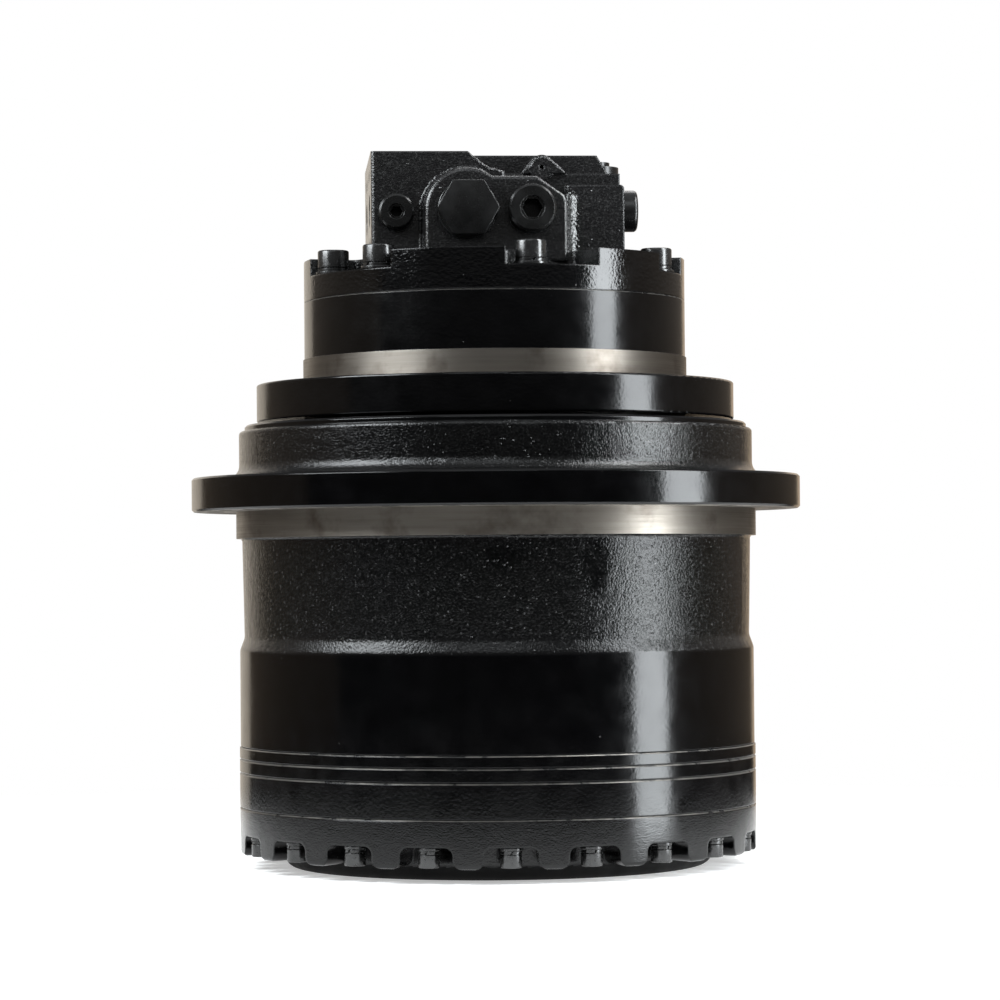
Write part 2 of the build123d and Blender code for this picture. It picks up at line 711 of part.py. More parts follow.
def seal_ring(side):
    """One metal ring of the floating seal; side is -1 below the sealing plane, 1 above it."""
    near = SEAL_FACE_GAP / 2
    lip = near + SEAL_RING_LIP_T
    far = SEAL_DEPTH - SEAL_RING_END_GAP
    points = [
        (SEAL_RING_ID / 2, near), (SEAL_RING_FACE_D / 2, near), (SEAL_RING_FACE_D / 2, lip),
        (SEAL_RING_NECK_D / 2, lip), (SEAL_RING_NECK_D / 2, far), (SEAL_RING_ID / 2, far),
    ]
    return turned([(r, z_seal_plane + side * z) for r, z in points])


def seal_toric(side):
    """Rubber ring between a seal ring and its housing."""
    minor = (SEAL_BORE_D - SEAL_RING_NECK_D) / 4 - FIT
    middle = SEAL_FACE_GAP / 2 + SEAL_RING_LIP_T + FIT + minor
    return Pos(0, 0, z_seal_plane + side * middle) * Torus(toric_r, minor)


# Planetary gears

def planet(teeth, bottom, face, race_r, arm, angle):
    """Planet gear with a tooth pointing away from the drive axis."""
    gear = toothed(MODULE, teeth, bottom, bottom + face) - rod(2 * race_r, bottom, bottom + face)
    return Rot(0, 0, angle) * Pos(arm, 0, 0) * gear


def needles(pin_d, needle_d, count, bottom, face):
    """Needle rollers round one planet pin, centred on the origin."""
    needle = rod(needle_d, bottom + NEEDLE_END, bottom + face - NEEDLE_END)
    return ring_of(needle, pin_d / 2 + FIT + needle_d / 2, spread(count))


def needle_sets(pin_d, needle_d, count, bottom, face, arm, planets):
    """Needle rollers of a whole stage."""
    sets = []
    for angle in spread(planets):
        for needle in needles(pin_d, needle_d, count, bottom, face):
            sets.append(Rot(0, 0, angle) * Pos(arm, 0, 0) * needle)
    return sets


def stage_1_carrier():
    """Plate that carries the first planets and turns the second sun through its teeth."""
    plate = rod(2 * (arm_1 + PIN_1_D / 2 + CARRIER_1_EDGE), z_carrier_1, z_carrier_1_top)
    half_pitch = 180.0 / SUN_2_TEETH
    plate -= Rot(0, 0, half_pitch) * toothed_bore(MODULE, SUN_2_TEETH, z_carrier_1, z_carrier_1_top)
    hole = rod(PIN_1_D + 2 * FIT, z_carrier_1, z_carrier_1_top)
    return plate - ring_of(hole, arm_1, spread(PLANETS_1))


def stage_1_pins():
    """Headed pins of the first planets."""
    head_top = z_planet_1 - END_GAP
    pin = rod(PIN_1_HEAD_D, head_top - PIN_1_HEAD_H, head_top)
    pin += rod(PIN_1_D, head_top, z_carrier_1_top)
    return ring_of(pin, arm_1, spread(PLANETS_1))


def stage_2_carrier():
    """Two-plate cage on the spindle spline; its webs pass between the planets."""
    top = z_carrier_2_upper + CARRIER_2_UPPER_T
    sun_hole = MODULE * (SUN_2_TEETH + 2) + 2 * END_GAP
    cage = tube(CARRIER_2_D, CARRIER_2_WEB_IN_D, z_carrier_2, top)
    room = MODULE * (planet_2_teeth + 2 * ADDENDUM) + 2 * CARRIER_2_WEB_GAP
    cut = rod(room, z_planet_2 - END_GAP, z_carrier_2_upper)
    cage -= ring_of(cut, arm_2, spread(PLANETS_2))
    cage += tube(CARRIER_2_D, sun_hole, z_carrier_2, z_planet_2 - END_GAP)
    cage += rod(CARRIER_2_D, z_carrier_2_upper, top)
    cage -= toothed_bore(SPLINE_MODULE, SPINDLE_SPLINE_TEETH, z_carrier_2_upper, top)
    hole = rod(PIN_2_D + 2 * FIT, z_carrier_2, top)
    return cage - ring_of(hole, arm_2, spread(PLANETS_2))


def stage_2_pins():
    """Pins of the second planets, held at both ends."""
    return ring_of(rod(PIN_2_D, z_carrier_2, z_spindle), arm_2, spread(PLANETS_2))


def sun_gear_1():
    """First sun on the long drive shaft, splined into the motor shaft."""
    pad_top = COVER_FLOOR_T - THRUST_PAD_SEAT + THRUST_PAD_T
    half_pitch = 180.0 / SUN_1_TEETH
    gear = Rot(0, 0, half_pitch) * toothed(MODULE, SUN_1_TEETH, pad_top + END_GAP, z_carrier_1)
    gear += rod(DRIVE_SHAFT_D, z_carrier_1, z_nose - RUN_GAP)
    spline_top = z_nose + SOCKET_DEPTH - SOCKET_ROOM
    spline = toothed(DRIVE_SPLINE_MODULE, DRIVE_SPLINE_TEETH, z_nose - RUN_GAP, spline_top)
    return gear + spline


def sun_gear_2():
    """Hollow second sun; its lower teeth sit in the first carrier."""
    half_pitch = 180.0 / SUN_2_TEETH
    gear = Rot(0, 0, half_pitch) * toothed(MODULE, SUN_2_TEETH, z_carrier_1 + END_GAP, z_planet_2_top)
    return gear - rod(SUN_2_BORE_D, z_carrier_1, z_planet_2_top)


# Motor case

def ear_cutters():
    """Grooves in the brake bore for the separator ears."""
    groove = rod(SEPARATOR_EAR_D + 2 * FIT, z_shelf, z_step)
    return ring_of(groove, BRAKE_BORE_D / 2, spread(SEPARATOR_EARS, SEPARATOR_EAR_CLOCK))


def motor_case():
    """Spindle and motor housing in one casting, with the frame flange and pilot."""
    recess = z_frame + SEAL_DEPTH
    bearing = FRONT_BEARING_OD / 2 + FIT
    case = CASE_D / 2
    outer = [
        (SPINDLE_BORE_D / 2, z_spindle), (SPINDLE_END_D / 2, z_spindle),
        (SPINDLE_END_D / 2, z_bearing - SPINDLE_THREAD_H), (NUT_THREAD_D / 2, z_bearing - SPINDLE_THREAD_H),
        (NUT_THREAD_D / 2, z_bearing), (BEARING_ID / 2, z_bearing), (BEARING_ID / 2, recess),
        (SEAL_BORE_D / 2, recess), (SEAL_BORE_D / 2, z_frame), (FRAME_FLANGE_D / 2, z_frame),
        (FRAME_FLANGE_D / 2, z_frame_face), (FRAME_PILOT_D / 2, z_frame_face),
        (FRAME_PILOT_D / 2, z_case_step), (case, z_case_step),
        (case, z_case - CASE_SEAM_EDGE), (case - CASE_SEAM_EDGE, z_case),
    ]
    inner = [
        (BRAKE_CHAMBER_D / 2, z_case), (BRAKE_CHAMBER_D / 2, z_step), (BRAKE_BORE_D / 2, z_step),
        (BRAKE_BORE_D / 2, z_shelf), (CAVITY_D / 2, z_shelf), (CAVITY_D / 2, z_floor),
        (bearing, z_floor), (bearing, z_front_bearing), (SEAL_D / 2, z_front_bearing),
        (SEAL_D / 2, z_seal), (SPINDLE_BORE_D / 2, z_seal),
    ]
    edge = FLANGE_EDGE
    outer_radii = [0] * 9 + [edge, edge, 0, 0, 0, 0, 0]
    inner_radii = [0] * 5 + [CAVITY_CORNER_R] + [0] * 5
    body = turned(outer + inner, outer_radii + inner_radii)
    stub = toothed(SPLINE_MODULE, SPINDLE_SPLINE_TEETH, z_carrier_2_upper + END_GAP, z_spindle)
    body += stub - rod(SPINDLE_BORE_D, z_carrier_2_upper, z_spindle)
    for x in (-PIVOT_X, PIVOT_X):
        body += rod(PIVOT_POST_D, z_floor, z_pivot - SWASH_BACK, x)
        body -= Pos(x, 0, z_pivot) * Sphere(PIVOT_BALL_D / 2 + FIT)
    bore = SPEED_PISTON_D + 2 * RUN_GAP
    body -= rod(bore, z_floor - SPEED_BORE_DEPTH, z_floor, 0, SPEED_PISTON_Y)
    body -= ear_cutters()
    frame_bolt = rod(M16_TAP_D, z_frame_face - FRAME_BOLT_DEPTH, z_frame_face)
    frame_angles = spread(FRAME_BOLTS, 180.0 / FRAME_BOLTS)
    body -= ring_of(frame_bolt, FRAME_BOLT_CIRCLE_D / 2, frame_angles)
    tapped = rod(VALVE_BOLT_D + 2 * FIT, z_case - VALVE_BOLT_REACH - TAP_ROOM, z_case)
    return body - ring_of(tapped, VALVE_BOLT_CIRCLE_D / 2, valve_bolt_angles())


def shaft_seal():
    """Lip seal at the motor shaft."""
    return tube(SEAL_D - 2 * FIT, SHAFT_NOSE_D + 2 * RUN_GAP, z_seal, z_seal + SEAL_W)


def front_bearing_outer():
    """Outer ring and captive rollers of the front shaft bearing."""
    inner_r = SHAFT_FRONT_D / 2 + FIT + FRONT_INNER_T
    roller_r = inner_r + RUN_GAP + FRONT_ROLLER_D / 2
    race_d = 2 * (roller_r + FRONT_ROLLER_D / 2 + FIT)
    low = z_front_bearing
    ring = tube(FRONT_BEARING_OD, race_d, low, low + FRONT_BEARING_W)
    roller = rod(FRONT_ROLLER_D, low + ROLLER_END, low + FRONT_BEARING_W - ROLLER_END)
    return [ring] + ring_of(roller, roller_r, spread(FRONT_ROLLERS))


def front_bearing_inner():
    """Inner ring pressed on the shaft."""
    outer_d = SHAFT_FRONT_D + 2 * (FIT + FRONT_INNER_T)
    return tube(outer_d, SHAFT_FRONT_D + 2 * FIT, z_front_bearing, z_front_bearing + FRONT_BEARING_W)


def rear_bearing():
    """Needle cup in the valve cover, running on the shaft tail."""
    needle_r = SHAFT_TAIL_D / 2 + RUN_GAP + REAR_NEEDLE_D / 2
    race_d = 2 * (needle_r + REAR_NEEDLE_D / 2 + FIT)
    cup = tube(REAR_BEARING_OD, race_d, z_case, z_case + REAR_BEARING_W)
    needle = rod(REAR_NEEDLE_D, z_case + NEEDLE_END, z_case + REAR_BEARING_W - NEEDLE_END)
    return [cup] + ring_of(needle, needle_r, spread(REAR_NEEDLES))


# Motor rotor

def motor_shaft():
    """Stepped shaft with a splined socket for the drive shaft."""
    collar_top = z_floor + SHAFT_COLLAR_UP
    stop = z_cylinder - SHAFT_BLOCK_STOP
    shaft = rod(SHAFT_NOSE_D, z_nose, z_front_bearing)
    shaft += rod(SHAFT_FRONT_D, z_front_bearing, z_front_bearing + FRONT_BEARING_W)
    shaft += rod(SHAFT_COLLAR_D, z_front_bearing + FRONT_BEARING_W, collar_top)
    shaft += rod(SHAFT_NOSE_D, collar_top, stop)
    shaft += rod(SHAFT_D, stop, z_plate)
    shaft += rod(SHAFT_TAIL_D, z_plate, z_case + REAR_BEARING_W - NEEDLE_END)
    return shaft - toothed_bore(DRIVE_SPLINE_MODULE, DRIVE_SPLINE_TEETH, z_nose, z_nose + SOCKET_DEPTH)


def cylinder_block():
    """Barrel with the piston bores and the brake spline on its outside."""
    block = rod(BLOCK_D, z_cylinder, z_cylinder_top)
    spline_low = z_shelf - BRAKE_PLATE_T
    block += toothed(SPLINE_MODULE, BRAKE_SPLINE_TEETH, spline_low, spline_low + BRAKE_SPLINE_H)
    block -= rod(SHAFT_D + 2 * FIT, z_cylinder, z_cylinder_top)
    angles = spread(PISTONS, PISTON_CLOCK)
    bore = rod(PISTON_D + 2 * FIT, z_cylinder, z_cylinder_top - CYLINDER_TOP)
    port = rod(CYLINDER_PORT_D, z_cylinder_top - CYLINDER_TOP, z_cylinder_top)
    block -= ring_of(bore, PISTON_CIRCLE_D / 2, angles)
    return block - ring_of(port, PISTON_CIRCLE_D / 2, angles)


def pistons():
    """Hollow pistons, drawn at the inner end of their stroke."""
    low = z_shoe + SHOE_H
    piston = rod(PISTON_D, low, low + PISTON_L)
    piston -= rod(PISTON_D - 2 * PISTON_WALL, low + 2 * SHOE_T, low + PISTON_L)
    return ring_of(piston, PISTON_CIRCLE_D / 2, spread(PISTONS, PISTON_CLOCK))


def piston_shoes():
    """Slipper shoes under the pistons."""
    shoe = rod(SHOE_D, z_shoe, z_shoe + SHOE_T) + rod(SHOE_NECK_D, z_shoe + SHOE_T, z_shoe + SHOE_H)
    return ring_of(shoe, PISTON_CIRCLE_D / 2, spread(PISTONS, PISTON_CLOCK))


def retainer_plate():
    """Plate that holds the shoes down by their flanges."""
    low = z_shoe + SHOE_T + FIT
    plate = tube(RETAINER_D, RETAINER_BORE_D, low, low + RETAINER_T)
    hole = rod(SHOE_NECK_D + 2 * FIT, low, low + RETAINER_T)
    return plate - ring_of(hole, PISTON_CIRCLE_D / 2, spread(PISTONS, PISTON_CLOCK))


def valve_plate():
    """Port plate with two kidney slots between block and cover."""
    plate = tube(VALVE_PLATE_D, VALVE_PLATE_BORE_D, z_plate, z_case)
    for start in (-KIDNEY_SWEEP / 2, 180.0 - KIDNEY_SWEEP / 2):
        arc = CenterArc((0, 0), PISTON_CIRCLE_D / 2, start, KIDNEY_SWEEP)
        plate -= Pos(0, 0, z_plate) * extrude(SlotArc(arc, KIDNEY_W), amount=VALVE_PLATE_T)
    return plate


def brake_level(index):
    """Bottom level of a plate of the brake stack."""
    return z_shelf + index * BRAKE_PLATE_T


def brake_friction_discs():
    """Friction discs splined to the cylinder block."""
    discs = []
    for i in range(FRICTION_DISCS):
        low = brake_level(2 * i + 1)
        disc = rod(FRICTION_D, low + FIT, low + BRAKE_PLATE_T - FIT)
        discs.append(disc - toothed_bore(SPLINE_MODULE, BRAKE_SPLINE_TEETH, low, low + BRAKE_PLATE_T))
    return discs


def brake_separator_plates():
    """Steel plates held by ears in the case."""
    plates = []
    for i in range(FRICTION_DISCS + 1):
        low = brake_level(2 * i)
        plate = rod(BRAKE_BORE_D - 2 * FIT, low, low + BRAKE_PLATE_T)
        ear = rod(SEPARATOR_EAR_D, low, low + BRAKE_PLATE_T)
        for piece in ring_of(ear, BRAKE_BORE_D / 2, spread(SEPARATOR_EARS, SEPARATOR_EAR_CLOCK)):
            plate += piece
        plates.append(plate - rod(SEPARATOR_BORE_D, low, low + BRAKE_PLATE_T))
    return plates


def brake_piston():
    """Stepped ring piston that presses the brake stack together."""
    low = z_brake + FIT
    bore = BRAKE_PISTON_BORE_D / 2
    small = BRAKE_BORE_D / 2 - RUN_GAP
    large = BRAKE_CHAMBER_D / 2 - RUN_GAP
    step = low + BRAKE_PISTON_STEP
    top = low + BRAKE_PISTON_H
    return turned([(bore, low), (small, low), (small, step), (large, step), (large, top), (bore, top)])


def brake_spring():
    """Disc spring between brake piston and valve cover."""
    inner = BRAKE_SPRING_ID / 2
    outer = BRAKE_SPRING_OD / 2
    low = z_brake + 2 * FIT + BRAKE_PISTON_H
    high = z_case - FIT
    thick = BRAKE_SPRING_T
    return turned([(outer, low), (outer, low + thick), (inner, high), (inner, high - thick)])


# Swash plate

def tilted(solid):
    """Turn a piece about the swash axis to the full-stroke angle."""
    return Pos(0, 0, z_pivot) * Rot(SWASH_TILT, 0, 0) * Pos(0, 0, -z_pivot) * solid


def swash_plate():
    """Tilting cam plate on two pivot balls."""
    low = z_pivot + SWASH_BACK
    plate = tube(SWASH_D, SWASH_BORE_D, low, low + SWASH_T)
    for x in (-PIVOT_X, PIVOT_X):
        plate -= Pos(x, 0, z_pivot) * Sphere(PIVOT_BALL_D / 2 + RUN_GAP)
    return tilted(plate)


def swash_pivots():
    """Hardened balls under the swash plate."""
    return [Pos(x, 0, z_pivot) * Sphere(PIVOT_BALL_D / 2) for x in (-PIVOT_X, PIVOT_X)]


def speed_piston():
    """Two-speed piston with a domed tip under the low side of the swash plate."""
    tilt = math.radians(SWASH_TILT)
    back = z_pivot + SWASH_BACK / math.cos(tilt) + SPEED_PISTON_Y * math.tan(tilt)
    dome = SPEED_PISTON_D / 2
    centre = back - (dome + RUN_GAP) / math.cos(tilt)
    body = rod(SPEED_PISTON_D, centre - SPEED_PISTON_L + dome, centre)
    body += Pos(0, 0, centre) * Sphere(dome)
    return Pos(0, SPEED_PISTON_Y, 0) * body


# Valve cover

def valve_bolt_angles():
    """Cover screw angles, the front set repeated at the rear."""
    return [FRONT + a + turn for turn in (0.0, 180.0) for a in VALVE_BOLT_ANGLES]


def valve_pocket(first, last):
    """Cutter for one bolt pocket in the rim, open outwards."""
    inner = VALVE_POCKET_IN_D / 2
    outer = CASE_D
    middle = math.radians((first + last) / 2)
    half = math.radians((last - first) / 2)
    near = inner * math.sin(half)
    far = outer * math.sin(half)
    points = [(inner * math.cos(half), -near), (outer, -far), (outer, far), (inner * math.cos(half), near)]
    corner = VALVE_POCKET_CORNER_R
    outline = FilletPolyline(*points, radius=[corner, 0, 0, corner], close=True)
    cutter = Pos(0, 0, z_pocket) * extrude(make_face(outline), amount=VALVE_LUG_H)
    return Rot(0, 0, FRONT + math.degrees(middle)) * cutter


def tower():
    """Tall left part of the valve block; its right side runs down in a cast ramp."""
    ledge = z_block - RAMP_DROP
    front = [
        (BLOCK_LEFT_X, z_pocket), (RAMP_FOOT_X, z_pocket), (RAMP_FOOT_X, ledge), (RAMP_X, ledge),
        (TOWER_RIGHT_X, z_block), (BLOCK_LEFT_X, z_block),
    ]
    plan = [
        (BLOCK_LEFT_X, TOWER_FRONT_Y), (RAMP_FOOT_X, TOWER_FRONT_Y),
        (RAMP_FOOT_X, BLOCK_REAR_Y), (BLOCK_LEFT_X, BLOCK_REAR_Y),
    ]
    corner = BLOCK_CORNER_R
    face = make_face(FilletPolyline(*front, radius=[0, 0, 0, RAMP_R, corner, 0], close=True))
    foot = make_face(FilletPolyline(*plan, radius=[corner, corner, 0, corner], close=True))
    column = Pos(0, 0, z_pocket) * extrude(foot, amount=z_block - z_pocket)
    return column & front_plate(face, TOWER_FRONT_Y, BLOCK_REAR_Y)


def block_body():
    """Middle and right parts of the valve block, stepped down to the right."""
    body_top = z_block - BODY_DROP
    shoulder_top = z_block - SHOULDER_DROP
    left = BODY_LEFT_X - OVERRUN
    low = z_pocket
    main = front_plate(
        make_face(Polyline((left, low), (BODY_RIGHT_X, low), (BODY_RIGHT_X, body_top), (left, body_top),
                           close=True)),
        BODY_FRONT_Y, BLOCK_REAR_Y)
    slope_x = UPPER_RIGHT_X + UPPER_SLOPE
    upper = front_plate(
        make_face(Polyline((left, low), (slope_x, low), (slope_x, body_top), (UPPER_RIGHT_X, z_block),
                           (left, z_block), close=True)),
        UPPER_FRONT_Y, UPPER_REAR_Y)
    back = front_plate(
        make_face(Polyline((left, low), (UPPER_BACK_X, low), (UPPER_BACK_X, z_block), (left, z_block),
                           close=True)),
        UPPER_REAR_Y, BLOCK_REAR_Y)
    edge = BLOCK_CORNER_R
    shoulder = front_plate(
        make_face(FilletPolyline((SHOULDER_LEFT_X, low), (BLOCK_RIGHT_X, low), (BLOCK_RIGHT_X, shoulder_top),
                                 (SHOULDER_LEFT_X, shoulder_top), radius=[0, 0, edge, 0], close=True)),
        SHOULDER_FRONT_Y, BLOCK_REAR_Y)
    return main + upper + back + shoulder


def boss_sketch():
    """Boss outline: round over the spool plug, sloping down beyond the relief cap."""
    left = SPOOL_X - BOSS_SPOOL_R
    top = z_plug + BOSS_TOP_UP
    points = [
        (left, z_pocket), (BOSS_SIDE_X, z_pocket), (BOSS_SIDE_X, z_plug + BOSS_SIDE_UP),
        (BOSS_SLOPE_X, top), (SPOOL_X, top), (left, z_plug),
    ]
    bend = BOSS_BEND_R
    skirt = make_face(FilletPolyline(*points, radius=[0, 0, bend, bend, 0, 0], close=True))
    return skirt + Pos(SPOOL_X, z_plug) * Circle(BOSS_SPOOL_R)


def boss():
    """Drafted front boss with rounded cast edges."""
    block = front_plate(boss_sketch(), BOSS_FRONT_Y, UPPER_FRONT_Y, BOSS_DRAFT)
    return fillet(block.faces().sort_by(Axis.Y)[0].edges(), BOSS_EDGE_R)


def ear():
    """Small bell-shaped lug with a pin hole above the front boss."""
    level = z_block - BODY_DROP + EAR_R / 2
    waist = EAR_R * math.sqrt(0.5)
    foot = level - EAR_R / 2
    flanks = [
        (EAR_X - EAR_FOOT_LEFT, foot), (EAR_X + EAR_FOOT_RIGHT, foot),
        (EAR_X + waist, level + waist), (EAR_X - waist, level + waist),
    ]
    sketch = make_face(Polyline(*flanks, close=True)) + Pos(EAR_X, level) * Circle(EAR_R)
    sketch -= Pos(EAR_X, level) * Circle(EAR_HOLE_D / 2)
    return front_plate(sketch, UPPER_FRONT_Y - EAR_T, UPPER_FRONT_Y)


def cove():
    """Rough cast hollow where the boss side runs into the shoulder."""
    side = BOSS_SIDE_X - (UPPER_FRONT_Y - SHOULDER_FRONT_Y) * math.tan(math.radians(BOSS_DRAFT))
    middle = (side + COVE_R, SHOULDER_FRONT_Y - COVE_R)
    corner = (side - COVE_R, SHOULDER_FRONT_Y + OVERRUN)
    outline = Polyline(corner, (corner[0], middle[1]), middle, (middle[0], corner[1]), close=True)
    sketch = make_face(outline) - Pos(*middle) * Circle(COVE_R)
    return Pos(0, 0, z_pocket) * extrude(sketch, amount=z_plug + COVE_UP - z_pocket)


def side_bore(diameter, depth, y, z):
    """Cutter for a bore from the left face of the block."""
    return Pos(BLOCK_LEFT_X, y, z) * Rot(0, 90, 0) * Cylinder(diameter / 2, depth, align=ON_BASE)


def main_port_cutters():
    """Main port bores and their flange screw holes in the left face."""
    level = z_valve_lug + MAIN_PORT_UP
    across, along = MAIN_FLANGE_SPACING
    cutters = []
    for y in MAIN_PORT_Y:
        cutters.append(side_bore(MAIN_PORT_D, MAIN_PORT_DEPTH, y, level))
        for dy in (-across / 2, across / 2):
            for dz in (-along / 2, along / 2):
                cutters.append(side_bore(M10_TAP_D, MAIN_FLANGE_TAP_DEPTH, y + dy, level + dz))
    return cutters


def plug_cutters():
    """Threaded seats of all plugs, and the drain and pilot ports in the rear face."""
    thread = PLUG_THREAD_L
    rear = BLOCK_REAR_Y
    inner = rear - SMALL_PORT_DEPTH
    side = Pos(BLOCK_RIGHT_X - thread, SIDE_PLUG_Y, z_side_plug) * Rot(0, 90, 0)
    return [
        front_rod(SPOOL_D, BOSS_FRONT_Y, BOSS_REAR_Y, SPOOL_X, z_plug),
        front_rod(RELIEF_THREAD_D, BOSS_FRONT_Y, BOSS_FRONT_Y + thread, RELIEF_X, z_plug),
        front_rod(RELIEF_THREAD_D, BOSS_REAR_Y - thread, BOSS_REAR_Y, RELIEF_X, z_plug),
        front_rod(CHECK_THREAD_D, TOWER_FRONT_Y, TOWER_FRONT_Y + thread, CHECK_X, z_plug),
        front_rod(DRAIN_PORT_D, inner, rear, SMALL_PORT_X, z_valve_lug + DRAIN_PORT_UP),
        front_rod(PILOT_PORT_D, inner, rear, SMALL_PORT_X, z_valve_lug + PILOT_PORT_UP),
        side * Cylinder(CHECK_THREAD_D / 2, thread, align=ON_BASE),
        rod(CHECK_THREAD_D, z_block - BODY_DROP - thread, z_block - BODY_DROP, TOP_PLUG_X, TOP_PLUG_Y),
    ]


def valve_cover():
    """Cast cover with bolt pockets in its rim and the valve block on top."""
    body = chamfer(rod(CASE_D, z_case, z_valve_lug).edges().sort_by(Axis.Z)[0], CASE_SEAM_EDGE)
    for first, last in VALVE_POCKETS:
        cutter = valve_pocket(first, last)
        body -= [cutter, Rot(0, 0, 180) * cutter]
    body += [tower(), block_body(), ear(), cove()]
    front_boss = boss()
    body += [front_boss, Pos(0, 2 * boss_mid_y, 0) * mirror(front_boss, Plane.XZ)]
    hole = rod(VALVE_BOLT_D + HOLE_GAP, z_case, z_pocket)
    body -= ring_of(hole, VALVE_BOLT_CIRCLE_D / 2, valve_bolt_angles())
    body -= plug_cutters()
    body -= main_port_cutters()
    return body - rod(REAR_BEARING_OD + 2 * FIT, z_case, z_case + REAR_BEARING_W)


def valve_cover_bolts():
    """Socket screws in the rim pockets."""
    seat = z_pocket + 2 * VALVE_WASHER_T
    top = seat + VALVE_BOLT_HEAD_H
    bolt = rod(VALVE_BOLT_HEAD_D, seat, top) + rod(VALVE_BOLT_D, z_case - VALVE_BOLT_REACH, seat)
    half = VALVE_BOLT_HEAD_H / 2
    bolt -= Pos(0, 0, top - half) * extrude(hexagon(VALVE_BOLT_SOCKET), amount=half)
    return ring_of(bolt, VALVE_BOLT_CIRCLE_D / 2, valve_bolt_angles())


def valve_cover_washers():
    """A flat and a lock washer under each cover screw."""
    hole = VALVE_BOLT_D + 2 * FIT
    middle = z_pocket + VALVE_WASHER_T
    flat = tube(VALVE_WASHER_D, hole, z_pocket, middle)
    lock = tube(VALVE_LOCK_WASHER_D, hole, middle, middle + VALVE_WASHER_T)
    radius = VALVE_BOLT_CIRCLE_D / 2
    return ring_of(flat, radius, valve_bolt_angles()) + ring_of(lock, radius, valve_bolt_angles())


def spool_end_plugs():
    """Hexagon plugs that close the spool bore at both ends."""
    face = BOSS_FRONT_Y
    head = front_plate(Pos(SPOOL_X, z_plug) * hexagon(HEX_AF), face - HEX_COLLAR_T - HEX_H, face)
    plug = head + front_rod(HEX_COLLAR_D, face - HEX_COLLAR_T, face, SPOOL_X, z_plug)
    plug += front_rod(SPOOL_D - 2 * FIT, face, face + SPOOL_SEAT_L, SPOOL_X, z_plug)
    return [plug, Pos(0, 2 * boss_mid_y, 0) * mirror(plug, Plane.XZ)]


def socket_cap(face, x, cap_d, cap_h, mouth_d, socket, thread_d):
    """Round cap on a front face, with a round mouth and a hexagon socket."""
    near = face - cap_h
    thread = PLUG_THREAD_L - FIT
    points = [
        (0, -thread), (thread_d / 2 - FIT, -thread), (thread_d / 2 - FIT, 0), (cap_d / 2, 0),
        (cap_d / 2, cap_h - PLUG_EDGE), (cap_d / 2 - PLUG_EDGE, cap_h), (0, cap_h),
    ]
    cap = Pos(x, face, z_plug) * Rot(90, 0, 0) * turned(points)
    cap -= front_rod(mouth_d, near, near + PLUG_MOUTH_DEPTH, x, z_plug)
    return cap - front_plate(Pos(x, z_plug) * hexagon(socket), near, near + PLUG_SOCKET_DEPTH)


def socket_plugs():
    """Relief caps front and rear, the check valve cap, and the round plug on the ledge."""
    relief = socket_cap(
        BOSS_FRONT_Y, RELIEF_X, RELIEF_CAP_D, RELIEF_CAP_H, RELIEF_CAP_MOUTH_D, RELIEF_CAP_SOCKET,
        RELIEF_THREAD_D)
    check = socket_cap(
        TOWER_FRONT_Y, CHECK_X, CHECK_CAP_D, CHECK_CAP_H, CHECK_CAP_MOUTH_D, CHECK_CAP_SOCKET,
        CHECK_THREAD_D)
    ledge = z_block - BODY_DROP
    cap_low = ledge + TOP_PLUG_H
    top = rod(TOP_PLUG_D, ledge, cap_low) + rod(TOP_PLUG_CAP_D, cap_low, cap_low + TOP_PLUG_CAP_H)
    top += rod(CHECK_THREAD_D - 2 * FIT, ledge - PLUG_THREAD_L + FIT, ledge)
    rear = Pos(0, 2 * boss_mid_y, 0) * mirror(relief, Plane.XZ)
    return [relief, rear, check, Pos(TOP_PLUG_X, TOP_PLUG_Y, 0) * top]


def speed_valve_plug():
    """Round plug in the right face."""
    thread = PLUG_THREAD_L - FIT
    points = [
        (0, -thread), (CHECK_THREAD_D / 2 - FIT, -thread), (CHECK_THREAD_D / 2 - FIT, 0),
        (SIDE_PLUG_D / 2, 0), (SIDE_PLUG_D / 2, SIDE_PLUG_H), (0, SIDE_PLUG_H),
    ]
    plug = turned(points, [0, 0, 0, 0, SIDE_PLUG_EDGE_R, 0])
    return Pos(BLOCK_RIGHT_X, SIDE_PLUG_Y, z_side_plug) * Rot(0, 90, 0) * plug


def counterbalance_spool():
    """Spool with a land at each end and one in the middle."""
    near = boss_mid_y - SPOOL_L / 2
    land = SPOOL_D - 2 * RUN_GAP
    spool = front_rod(SPOOL_NECK_D, near, near + SPOOL_L, SPOOL_X, z_plug)
    for start in (near, boss_mid_y - SPOOL_LAND / 2, near + SPOOL_L - SPOOL_LAND):
        spool += front_rod(land, start, start + SPOOL_LAND, SPOOL_X, z_plug)
    return spool


def spool_springs():
    """Centring springs between spool and end plugs."""
    start = BOSS_FRONT_Y + SPOOL_SEAT_L
    length = boss_mid_y - SPOOL_L / 2 - start
    rise = length - SPRING_WIRE_D - 2 * FIT
    path = Helix(pitch=rise / SPRING_TURNS, height=rise, radius=SPRING_D / 2)
    section = Plane(origin=path @ 0, z_dir=path % 0) * Circle(SPRING_WIRE_D / 2)
    coil = sweep(section, path=path)
    first = Pos(SPOOL_X, start + FIT + SPRING_WIRE_D / 2, z_plug) * Rot(-90, 0, 0) * coil
    return [first, Pos(0, 2 * boss_mid_y, 0) * mirror(first, Plane.XZ)]


